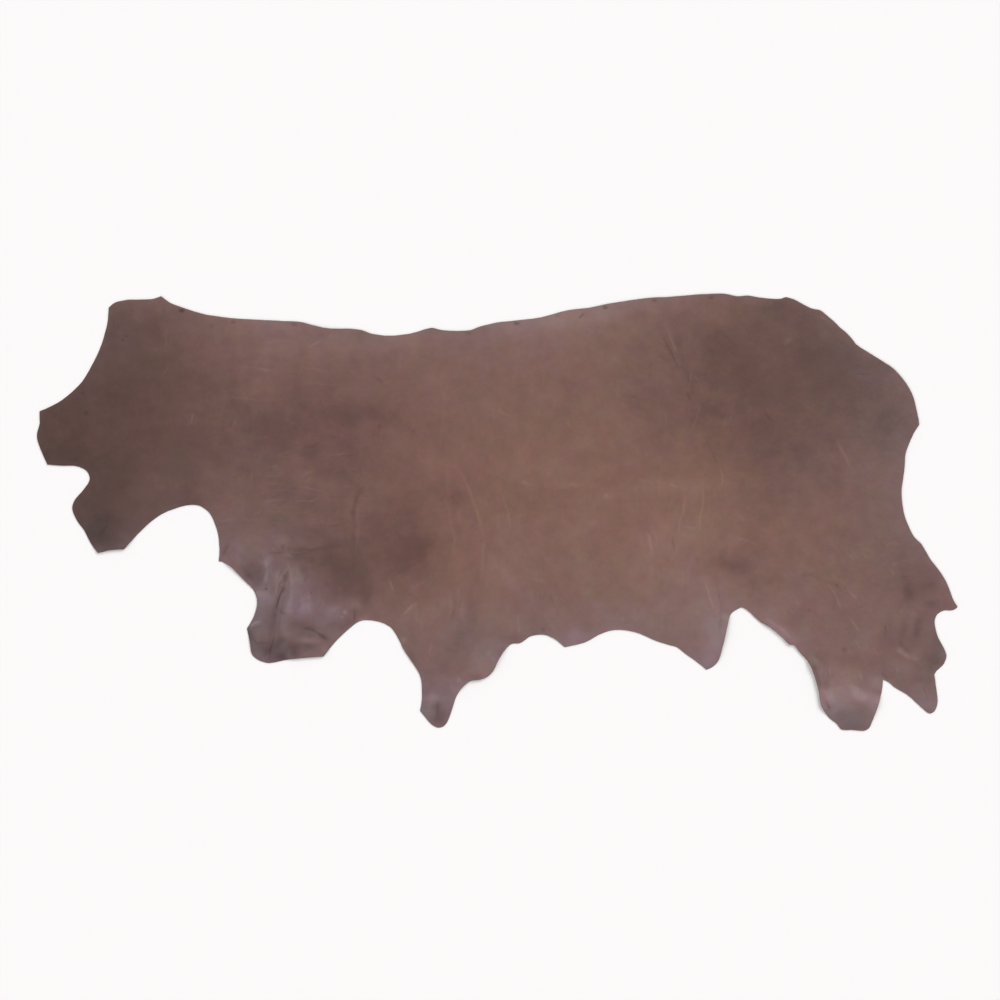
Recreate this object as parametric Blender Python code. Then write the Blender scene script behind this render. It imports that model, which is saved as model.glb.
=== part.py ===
"""A side of cattle leather: half a tanned hide, laid out with its grain face up.

The hide was split along the backbone, trimmed, and spread on a flat surface. It is
one sheet of one piece, with the neck, the two legs and the belly still in its edge.

The object is in metres, +Z up. +X runs along the back from the nose end to the rump,
+Y runs from the belly to the backbone, and the origin lies under the middle of the
side, on the surface that it rests on. The sizes below are in millimetres.
"""
from collections import namedtuple
from math import ceil

import bpy
import numpy as np
from mathutils import Vector
from mathutils.geometry import delaunay_2d_cdt, interpolate_bezier

METRES = 0.001

# The leather
THICKNESS = 2.0
LEATHER_COLOUR = (0.195, 0.120, 0.100, 1.0)
LEATHER_ROUGHNESS = 0.55

# How finely the sheet is divided
EDGE_STEP = 4.0
EDGE_TOLERANCE = 0.45
LONGEST_EDGE = 60.0
FLAT_PITCH = 45.0
FLAT_CLEARANCE = 14.0
FOLD_PITCH = 14.0
FOLD_CLEARANCE = 7.0
SAME_PLACE = 0.001

# The cut edge. Each stretch starts at a corner, runs through its marks as one smooth
# curve, and ends at the first mark of the stretch after it. The columns count from
# the nose end, along the back, and from the foot of the hind shank, across it.
Mark = namedtuple("Mark", "along across")


def marks(*pairs):
    return [Mark(*pair) for pair in pairs]


OUTLINE = {
    "top of the neck": marks(
        (191, 1126), (202, 1136), (214, 1142), (248, 1147), (307, 1149)),
    "crest": marks(
        (330, 1156), (354, 1139), (381, 1128), (434, 1111), (456, 1106), (530, 1097), (620, 1092)),
    "withers": marks(
        (699, 1088), (772, 1071), (828, 1070), (863, 1066), (892, 1056), (940, 1051), (988, 1056)),
    "loin": marks(
        (1049, 1072), (1078, 1066), (1115, 1064), (1153, 1066), (1179, 1075), (1219, 1085),
        (1286, 1093), (1326, 1097), (1365, 1106), (1408, 1118), (1472, 1126), (1525, 1137),
        (1632, 1152), (1677, 1154), (1765, 1161), (1807, 1163), (1833, 1162), (1863, 1156),
        (1892, 1158), (1930, 1152), (1975, 1149)),
    "croup": marks(
        (1993, 1154), (2019, 1146), (2055, 1126)),
    "rump": marks(
        (2085, 1118), (2120, 1090), (2138, 1072), (2154, 1059), (2169, 1043), (2182, 1027),
        (2217, 1004), (2270, 970), (2291, 952), (2320, 914), (2333, 885), (2346, 830)),
    "butt": marks(
        (2348, 814), (2334, 792), (2312, 739), (2309, 699), (2301, 635), (2308, 577), (2324, 535),
        (2337, 513), (2354, 496), (2379, 455), (2399, 429), (2420, 396), (2439, 348)),
    "tail bay": marks(
        (2450, 329), (2443, 323), (2432, 320), (2414, 320), (2395, 308), (2389, 287), (2397, 252),
        (2416, 214), (2420, 197), (2412, 176), (2393, 158)),
    "hock tip": marks(
        (2388, 148), (2397, 78), (2388, 51), (2374, 46), (2356, 60), (2318, 94), (2283, 115),
        (2268, 128)),
    "hind shank": marks(
        (2251, 137), (2249, 109), (2239, 71), (2224, 29), (2214, 7), (2201, 0), (2169, 2),
        (2142, 3), (2129, 18), (2107, 36), (2086, 69), (2080, 103), (2066, 152), (2049, 187),
        (2031, 207)),
    "flank bay": marks(
        (2015, 228), (2001, 230), (1983, 248), (1951, 274), (1922, 292), (1892, 319),
        (1876, 328), (1860, 321), (1846, 309), (1838, 282), (1827, 234), (1814, 188),
        (1799, 170)),
    "hind belly": marks(
        (1782, 162), (1759, 181), (1727, 204), (1703, 222), (1685, 227), (1645, 240),
        (1605, 258), (1573, 266), (1538, 268), (1499, 257), (1458, 235)),
    "fore belly": marks(
        (1405, 222), (1381, 242), (1355, 254), (1334, 255), (1312, 250), (1286, 233),
        (1262, 230), (1237, 202), (1213, 158), (1195, 142), (1174, 135), (1153, 132),
        (1127, 109), (1114, 85), (1100, 42), (1086, 15), (1070, 8), (1051, 16)),
    "elbow bay": marks(
        (1020, 53), (1025, 90), (1019, 148), (977, 214), (960, 248), (941, 275), (905, 291),
        (865, 293), (833, 273), (795, 237)),
    "foot of the foreleg": marks(
        (763, 198), (714, 194), (674, 190)),
    "heel of the foreleg": marks(
        (618, 180), (592, 187), (573, 203), (567, 236)),
    "front of the foreleg": marks(
        (559, 272), (578, 305), (587, 343), (575, 376), (550, 402), (516, 436), (496, 448)),
    "throat bay": marks(
        (484, 451), (486, 489), (479, 535), (461, 577), (434, 598), (402, 600), (354, 586),
        (317, 566), (275, 530)),
    "end of the jaw": marks(
        (233, 483), (195, 480)),
    "jaw": marks(
        (163, 473), (144, 498), (127, 531), (107, 558), (94, 591), (100, 613), (128, 646),
        (141, 670), (131, 692), (104, 704), (67, 705)),
    "nose": marks(
        (28, 708), (10, 750), (0, 783), (7, 816)),
    "face": marks(
        (7, 850), (35, 862), (67, 880), (99, 907), (123, 933), (154, 987), (176, 1040),
        (188, 1088)),
}

# Where the leather stands off the surface. A fold is a soft ridge or, where its height
# is below zero, a trough pressed into the ridges beside it. It runs straight from start
# to end, which are marks as above, and it fades out at half its width from that line.
Fold = namedtuple("Fold", "place start end width height")

FOLDS = [
    Fold("foreleg, swell in front of the crease", (628, 395), (600, 235), 92, 9.0),
    Fold("foreleg, swell behind the crease", (688, 385), (672, 240), 104, 11.0),
    Fold("foreleg, crease down to the foot", (657, 420), (618, 180), 40, -9.5),
    Fold("foreleg, swell towards the elbow", (735, 300), (822, 318), 96, 8.0),
    Fold("foreleg, short crease over the foot", (706, 274), (775, 236), 36, -7.0),
    Fold("foreleg, raised foot", (690, 198), (756, 208), 60, 5.0),
    Fold("foreleg, raised front edge", (522, 446), (580, 398), 62, 4.5),
    Fold("foreleg, swell under the throat", (560, 492), (690, 490), 74, 4.0),
    Fold("foreleg, line up to the shoulder", (852, 590), (856, 318), 44, 2.6),
    Fold("jaw, raised end", (176, 480), (232, 492), 84, 5.5),
    Fold("fore spur, raised edge", (1240, 200), (1212, 170), 70, 7.5),
    Fold("fore spur, raised notch", (1186, 140), (1128, 118), 74, 7.0),
    Fold("fore spur, swell over the tip", (1062, 60), (1074, 128), 62, 3.5),
    Fold("flank spur, swell", (1768, 380), (1822, 244), 84, 4.0),
    Fold("flank spur, raised edge", (1836, 286), (1812, 196), 58, 5.0),
    Fold("flank bay, raised edge", (1936, 284), (2004, 234), 62, 6.5),
    Fold("hind shank, raised side", (2046, 196), (2078, 92), 76, 12.5),
    Fold("hind shank, ridge across", (2098, 92), (2232, 90), 90, 9.0),
    Fold("tail side, upright swell", (2330, 318), (2330, 236), 52, 3.0),
    Fold("tail side, slanting swell", (2290, 210), (2330, 182), 40, 2.6),
    Fold("loin, crease below the backbone", (1678, 1062), (1708, 970), 44, 2.4),
]


def clear_scene():
    for item in list(bpy.data.objects):
        bpy.data.objects.remove(item, do_unlink=True)


def smooth_run(points):
    """Points a short step apart along one smooth curve through the given ones."""
    ends = [2 * points[0] - points[1]] + points + [2 * points[-1] - points[-2]]
    run = []
    for before, start, end, after in zip(ends, ends[1:], ends[2:], ends[3:]):
        gap = (end - start).length
        leave = (end - before) / ((start - before).length + gap)
        arrive = (after - start) / ((after - end).length + gap)
        steps = max(2, ceil(gap / EDGE_STEP)) + 1
        curve = interpolate_bezier(start, start + leave * gap / 3, end - arrive * gap / 3, end, steps)
        run.extend(curve[:-1])
    return run + [points[-1]]


def thin_out(run):
    """The fewest points of a run that keep its shape within the edge tolerance."""
    start, end = run[0], run[-1]
    chord = end - start
    if len(run) < 3:
        return run
    gaps = [abs(chord.cross(point - start)) / chord.length for point in run[1:-1]]
    if max(gaps) > EDGE_TOLERANCE:
        split = 1 + gaps.index(max(gaps))
    elif chord.length > LONGEST_EDGE:
        split = len(run) // 2
    else:
        return [start, end]
    return thin_out(run[:split + 1])[:-1] + thin_out(run[split:])


def cut_edge():
    """The closed outline, anticlockwise seen from above."""
    stretches = list(OUTLINE.values())
    loop = []
    for stretch, following in zip(stretches, stretches[1:] + stretches[:1]):
        corners = [Vector(mark) for mark in stretch + following[:1]]
        loop.extend(thin_out(smooth_run(corners))[:-1])
    return np.array(loop[::-1])


def distance_to_line(places, start, end):
    """Each place's distance to the straight line from start to end."""
    along = end - start
    share = np.clip((places - start) @ along / (along @ along), 0.0, 1.0)
    return np.hypot(*(places - start - share[:, None] * along).T)


def reach_into(fold, places):
    """Where each place lies in a fold: 0 on its line, 1 at its rim, more outside it."""
    distance = distance_to_line(places, np.array(fold.start), np.array(fold.end))
    return distance / (fold.width / 2)


def height_at(places):
    """How far the underside stands off the surface. The troughs come after the ridges."""
    lift = np.zeros(len(places))
    for fold in sorted(FOLDS, key=lambda fold: -fold.height):
        reach = np.clip(reach_into(fold, places), 0.0, 1.0)
        lift += fold.height * (0.5 + 0.5 * np.cos(np.pi * reach))
        lift = np.maximum(lift, 0.0)
    return lift


def in_folds(places):
    return np.any([reach_into(fold, places) < 1.0 for fold in FOLDS], axis=0)


def inside_edge(places, loop, clearance):
    """Which places lie inside the loop, at least the clearance away from it."""
    inside = np.zeros(len(places), dtype=bool)
    nearest = np.full(len(places), np.inf)
    for start, end in zip(loop, np.roll(loop, -1, axis=0)):
        nearest = np.minimum(nearest, distance_to_line(places, start, end))
        rise = end[1] - start[1]
        if rise:
            share = (places[:, 1] - start[1]) / rise
            crossing = start[0] + share * (end[0] - start[0])
            inside ^= (share >= 0) & (share < 1) & (places[:, 0] < crossing)
    return inside & (nearest > clearance)


def lattice(loop, pitch):
    """An even lattice of places, in staggered rows, over the loop's whole extent."""
    low, high = loop.min(axis=0), loop.max(axis=0)
    row_gap = pitch * 3 ** 0.5 / 2
    rows, columns = np.mgrid[0:ceil((high[1] - low[1]) / row_gap), 0:ceil((high[0] - low[0]) / pitch)]
    along = low[0] + (columns + rows % 2 / 2) * pitch
    across = low[1] + rows * row_gap
    return np.column_stack([along.ravel(), across.ravel()])


def inner_places(loop):
    """Places within the edge, wide apart where the sheet is flat and close in its folds."""
    flat = lattice(loop, FLAT_PITCH)
    flat = flat[inside_edge(flat, loop, FLAT_CLEARANCE) & ~in_folds(flat)]
    folded = lattice(loop, FOLD_PITCH)
    folded = folded[in_folds(folded)]
    folded = folded[inside_edge(folded, loop, FOLD_CLEARANCE)]
    return np.vstack([flat, folded])


def leather_material():
    material = bpy.data.materials.new("oiled_leather")
    material.use_nodes = True
    surface = material.node_tree.nodes["Principled BSDF"]
    surface.inputs["Base Color"].default_value = LEATHER_COLOUR
    surface.inputs["Roughness"].default_value = LEATHER_ROUGHNESS
    surface.inputs["Metallic"].default_value = 0.0
    return material


def leather_side():
    """The underside as one divided sheet, thickened upwards to the grain face."""
    loop = cut_edge()
    places = np.vstack([loop, inner_places(loop)])
    rim = [(index, (index + 1) % len(loop)) for index in range(len(loop))]
    corners, _, faces, *_ = delaunay_2d_cdt([Vector(place) for place in places], rim, [], 1, SAME_PLACE)
    corners = np.array(corners)
    middle = (loop.min(axis=0) + loop.max(axis=0)) / 2
    underside = np.column_stack([corners - middle, height_at(corners)]) * METRES
    mesh = bpy.data.meshes.new("leather_side")
    mesh.from_pydata(underside.tolist(), [], faces)
    mesh.materials.append(leather_material())
    side = bpy.data.objects.new("leather_side", mesh)
    bpy.context.scene.collection.objects.link(side)
    sheet = side.modifiers.new("thickness", "SOLIDIFY")
    sheet.thickness = THICKNESS * METRES
    sheet.offset = 1.0


clear_scene()
leather_side()
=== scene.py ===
"""A side of oiled cattle leather: half a tanned hide, laid out with its grain face up.

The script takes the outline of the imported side, models the sheet that stands for it,
finishes its grain, its flesh side and its cut edge, and lights it from above. Sizes and
places on the hide are in millimetres. Places count from the nose end, along the back, and
from the foot of the hind shank, across it. The sizes of a material's clouds, pores and
fibres, and those of the floor and the camera, are in metres.
"""
from collections import namedtuple
from math import ceil, copysign, cos, hypot, pi, radians, sin

import bmesh
import bpy
import numpy as np
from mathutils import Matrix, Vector
from mathutils.geometry import delaunay_2d_cdt, interpolate_bezier
from mathutils.kdtree import KDTree


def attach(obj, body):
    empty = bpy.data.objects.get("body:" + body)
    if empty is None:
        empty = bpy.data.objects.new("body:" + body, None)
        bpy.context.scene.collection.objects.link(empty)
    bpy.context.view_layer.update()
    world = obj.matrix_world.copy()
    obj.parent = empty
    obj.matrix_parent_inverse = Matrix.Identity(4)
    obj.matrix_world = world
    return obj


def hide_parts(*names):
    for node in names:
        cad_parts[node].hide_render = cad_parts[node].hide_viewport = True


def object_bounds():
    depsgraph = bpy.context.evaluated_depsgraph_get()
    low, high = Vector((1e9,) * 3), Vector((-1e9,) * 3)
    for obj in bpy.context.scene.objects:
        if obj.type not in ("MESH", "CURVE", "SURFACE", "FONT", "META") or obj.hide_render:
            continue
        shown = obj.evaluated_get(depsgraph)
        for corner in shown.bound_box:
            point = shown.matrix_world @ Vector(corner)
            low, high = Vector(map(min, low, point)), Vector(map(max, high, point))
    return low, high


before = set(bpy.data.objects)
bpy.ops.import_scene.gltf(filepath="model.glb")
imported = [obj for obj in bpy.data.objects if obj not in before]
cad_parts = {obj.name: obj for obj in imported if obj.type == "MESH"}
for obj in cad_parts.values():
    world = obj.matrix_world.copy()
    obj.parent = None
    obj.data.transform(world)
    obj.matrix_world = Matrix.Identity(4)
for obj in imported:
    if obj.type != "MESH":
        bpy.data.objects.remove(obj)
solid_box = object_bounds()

# The cut. The tanner splits the hide along the backbone and trims it by hand with a
# knife, so the edge is the animal's own outline, a little uneven from the blade. The
# packed side gives that outline, as many short straight lines, which are rounded here.
METRES = 0.001
SIDE = "leather_side"
THICKNESS = 2.0
SAME_PLACE = 0.001
FACING_DOWN = -0.7
UPRIGHT = 0.6
EDGE_STEP = 4.2
SHARP_TURN = radians(32)
BLADE_SLIP = 0.35
BLADE_STROKE = 26.0
FINE_SLIP = 0.6
NOISE_CELLS = 64
NOISE_TURN = 1.7
origin = np.array(solid_box[0])[:2] / METRES


def soft_noise(places, spacing, seed):
    """Smooth random swells from -1 to 1, about that far apart. Each seed turns them its own way."""
    table = np.random.default_rng(seed).uniform(-1.0, 1.0, (NOISE_CELLS, NOISE_CELLS))
    angle = seed * NOISE_TURN
    turn = np.array([[cos(angle), -sin(angle)], [sin(angle), cos(angle)]])
    at = places @ turn / spacing
    cell = np.floor(at).astype(int)
    share = at - cell
    share = share * share * (3 - 2 * share)
    left, low = cell.T % NOISE_CELLS
    right, high = (left + 1) % NOISE_CELLS, (low + 1) % NOISE_CELLS
    below = table[left, low] * (1 - share[:, 0]) + table[right, low] * share[:, 0]
    above = table[left, high] * (1 - share[:, 0]) + table[right, high] * share[:, 0]
    return below * (1 - share[:, 1]) + above * share[:, 1]


def solid_outline(solid):
    """The rim of the solid's underside, in order, anticlockwise seen from above."""
    form = bmesh.new()
    form.from_mesh(solid.data)
    bmesh.ops.remove_doubles(form, verts=form.verts, dist=SAME_PLACE * METRES)
    beside = {}
    for edge in form.edges:
        low, high = sorted(face.normal.z for face in edge.link_faces)
        if low < FACING_DOWN and abs(high) < UPRIGHT:
            for here, there in (edge.verts, reversed(edge.verts)):
                beside.setdefault(here, []).append(there)
    start = min(beside, key=lambda vert: vert.co.x)
    loop, last, here = [], None, start
    while here is not start or not loop:
        loop.append(here.co.xy / METRES - Vector(origin))
        last, here = here, next(vert for vert in beside[here] if vert is not last)
    form.free()
    turn = sum(a.cross(b) for a, b in zip(loop, loop[1:] + loop[:1]))
    return loop if turn > 0 else loop[::-1]


def rounded_outline(corners):
    """The outline in short steps, smooth where it bends and sharp at its real corners."""
    run = []
    count = len(corners)
    for index, start in enumerate(corners):
        before, end, after = corners[index - 1], corners[(index + 1) % count], corners[(index + 2) % count]
        chord = end - start
        leave = arrive = chord / chord.length
        if (start - before).angle(chord) < SHARP_TURN:
            leave = (end - before) / ((start - before).length + chord.length)
        if chord.angle(after - end) < SHARP_TURN:
            arrive = (after - start) / ((after - end).length + chord.length)
        reach = chord.length / 3
        steps = ceil(chord.length / EDGE_STEP) + 1
        run.extend(interpolate_bezier(start, start + leave * reach, end - arrive * reach, end, steps)[:-1])
    return np.array(run)


def outward(loop):
    """The direction out of the sheet at each point of its outline."""
    along = np.roll(loop, -1, axis=0) - np.roll(loop, 1, axis=0)
    out = np.column_stack([along[:, 1], -along[:, 0]])
    return out / np.hypot(*out.T)[:, None]


def tree_of(places):
    """The places in a tree that quickly finds the nearest one."""
    tree = KDTree(len(places))
    for number, (x, y) in enumerate(places):
        tree.insert((x, y, 0.0), number)
    tree.balance()
    return tree


def distance_to(tree, places):
    """How far each place lies from the nearest one in the tree."""
    return np.array([tree.find((x, y, 0.0))[2] for x, y in places])


edge = rounded_outline(solid_outline(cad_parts[SIDE]))
slip = soft_noise(edge, BLADE_STROKE, seed=5) + FINE_SLIP * soft_noise(edge, BLADE_STROKE / 3, seed=6)
edge = edge + BLADE_SLIP * slip[:, None] * outward(edge)
edge_tree = tree_of(edge)


# How it lies. The hide dried stretched on a frame, and its thin, loose parts shrank the
# most: the foreleg cockled, and the edges of the belly, flank and hind shank curled up.
# A fold is a soft ridge, or a trough where its height is below zero.
Fold = namedtuple("Fold", "name start end width height")

FOLDS = [Fold(*row) for row in [
    ("foreleg, swell in front of the crease", (628, 395), (600, 235), 92, 9.0),
    ("foreleg, swell behind the crease", (688, 385), (672, 240), 104, 11.0),
    ("foreleg, swell towards the elbow", (735, 300), (822, 318), 96, 8.0),
    ("foreleg, raised foot", (690, 198), (756, 208), 60, 5.0),
    ("foreleg, raised front edge", (522, 446), (580, 398), 62, 4.5),
    ("foreleg, swell under the throat", (560, 492), (690, 490), 74, 4.0),
    ("foreleg, line up to the shoulder", (853, 574), (854, 326), 56, 1.7),
    ("jaw, raised end", (176, 480), (232, 492), 84, 5.5),
    ("fore spur, raised edge", (1240, 200), (1212, 170), 70, 7.5),
    ("fore spur, raised notch", (1186, 140), (1128, 118), 74, 7.0),
    ("fore spur, swell over the tip", (1062, 60), (1074, 128), 62, 3.5),
    ("flank spur, swell", (1768, 380), (1822, 244), 84, 4.0),
    ("flank spur, raised edge", (1836, 286), (1812, 196), 58, 5.0),
    ("flank bay, raised edge", (1944, 274), (2008, 230), 62, 3.5),
    ("hind shank, raised side, upper end", (2034, 226), (2056, 180), 76, 2.4),
    ("hind shank, raised side", (2066, 164), (2094, 70), 72, 6.8),
    ("hind shank, ridge across in front", (2122, 74), (2166, 84), 92, 5.0),
    ("hind shank, ridge across behind", (2176, 78), (2226, 66), 92, 6.5),
    ("tail side, upright swell", (2328, 298), (2324, 238), 48, 2.2),
    ("tail side, slanting swell", (2290, 210), (2330, 182), 40, 2.6),
    ("loin, crease below the backbone", (1676, 1062), (1706, 972), 30, 1.0),
    ("foreleg, crease down to the foot", (657, 420), (618, 180), 34, -4.0),
    ("foreleg, short crease over the foot", (726, 268), (772, 244), 34, -2.5),
]]

# Small swells all over the hide, highest in the loose skin near its edge, and how far
# the folds stray from their straight lines.
COCKLE_SPACING = 120.0
COCKLE_HEIGHT = 0.35
COCKLE_AT_EDGE = 1.0
LOOSE_SKIN = 110.0
FOLD_WANDER = 5.0
FOLD_WANDER_SPACING = 55.0


def distance_to_line(places, start, end):
    """How far each place lies from the straight line, and how far along it."""
    start, end = np.array(start, dtype=float), np.array(end, dtype=float)
    along = end - start
    share = np.clip((places - start) @ along / (along @ along), 0.0, 1.0)
    return np.hypot(*(places - start - share[:, None] * along).T), share


def wander(places, spacing, amount, seed):
    """The places, each pushed a little aside, so that no fold or stain is too regular."""
    push = [soft_noise(places, spacing, seed), soft_noise(places, spacing, seed + 1)]
    return places + amount * np.column_stack(push)


def bell(reach):
    """1 in the middle, falling smoothly to 0 where the reach is 1."""
    return 0.5 + 0.5 * np.cos(pi * np.clip(reach, 0.0, 1.0))


def underside_height(places):
    """How far the flesh side stands off the surface that the hide lies on."""
    moved = wander(places, FOLD_WANDER_SPACING, FOLD_WANDER, seed=11)
    lift = np.zeros(len(places))
    for fold in FOLDS:
        distance, _ = distance_to_line(moved if fold.height > 0 else places, fold.start, fold.end)
        lift += fold.height * bell(distance / (fold.width / 2))
        lift = np.maximum(lift, 0.0)
    loose = np.exp(-distance_to(edge_tree, places) / LOOSE_SKIN)
    swell = soft_noise(places, COCKLE_SPACING, seed=21) + soft_noise(places, COCKLE_SPACING / 2, seed=22) / 2
    return lift + np.maximum(swell, 0.0) * (COCKLE_HEIGHT + COCKLE_AT_EDGE * loose)


# Marks of the animal and of the tannery: creases, scars, veins, scratches, and dents of
# the clips that held the wet hide on its frame. A mark above zero in tone is paler and
# raised, because its oiled grain is stretched. One below is darker and sunken, because
# oil gathers in it. Some pale lines on the ridges beside creases are painted highlights
# instead, and the dark of the deeper creases is partly painted shade. Where a row ends
# with its tone, its height is the usual one.
USUAL_HEIGHT = 0.2
Line = namedtuple("Line", "name path width tone height", defaults=(USUAL_HEIGHT,))

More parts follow.
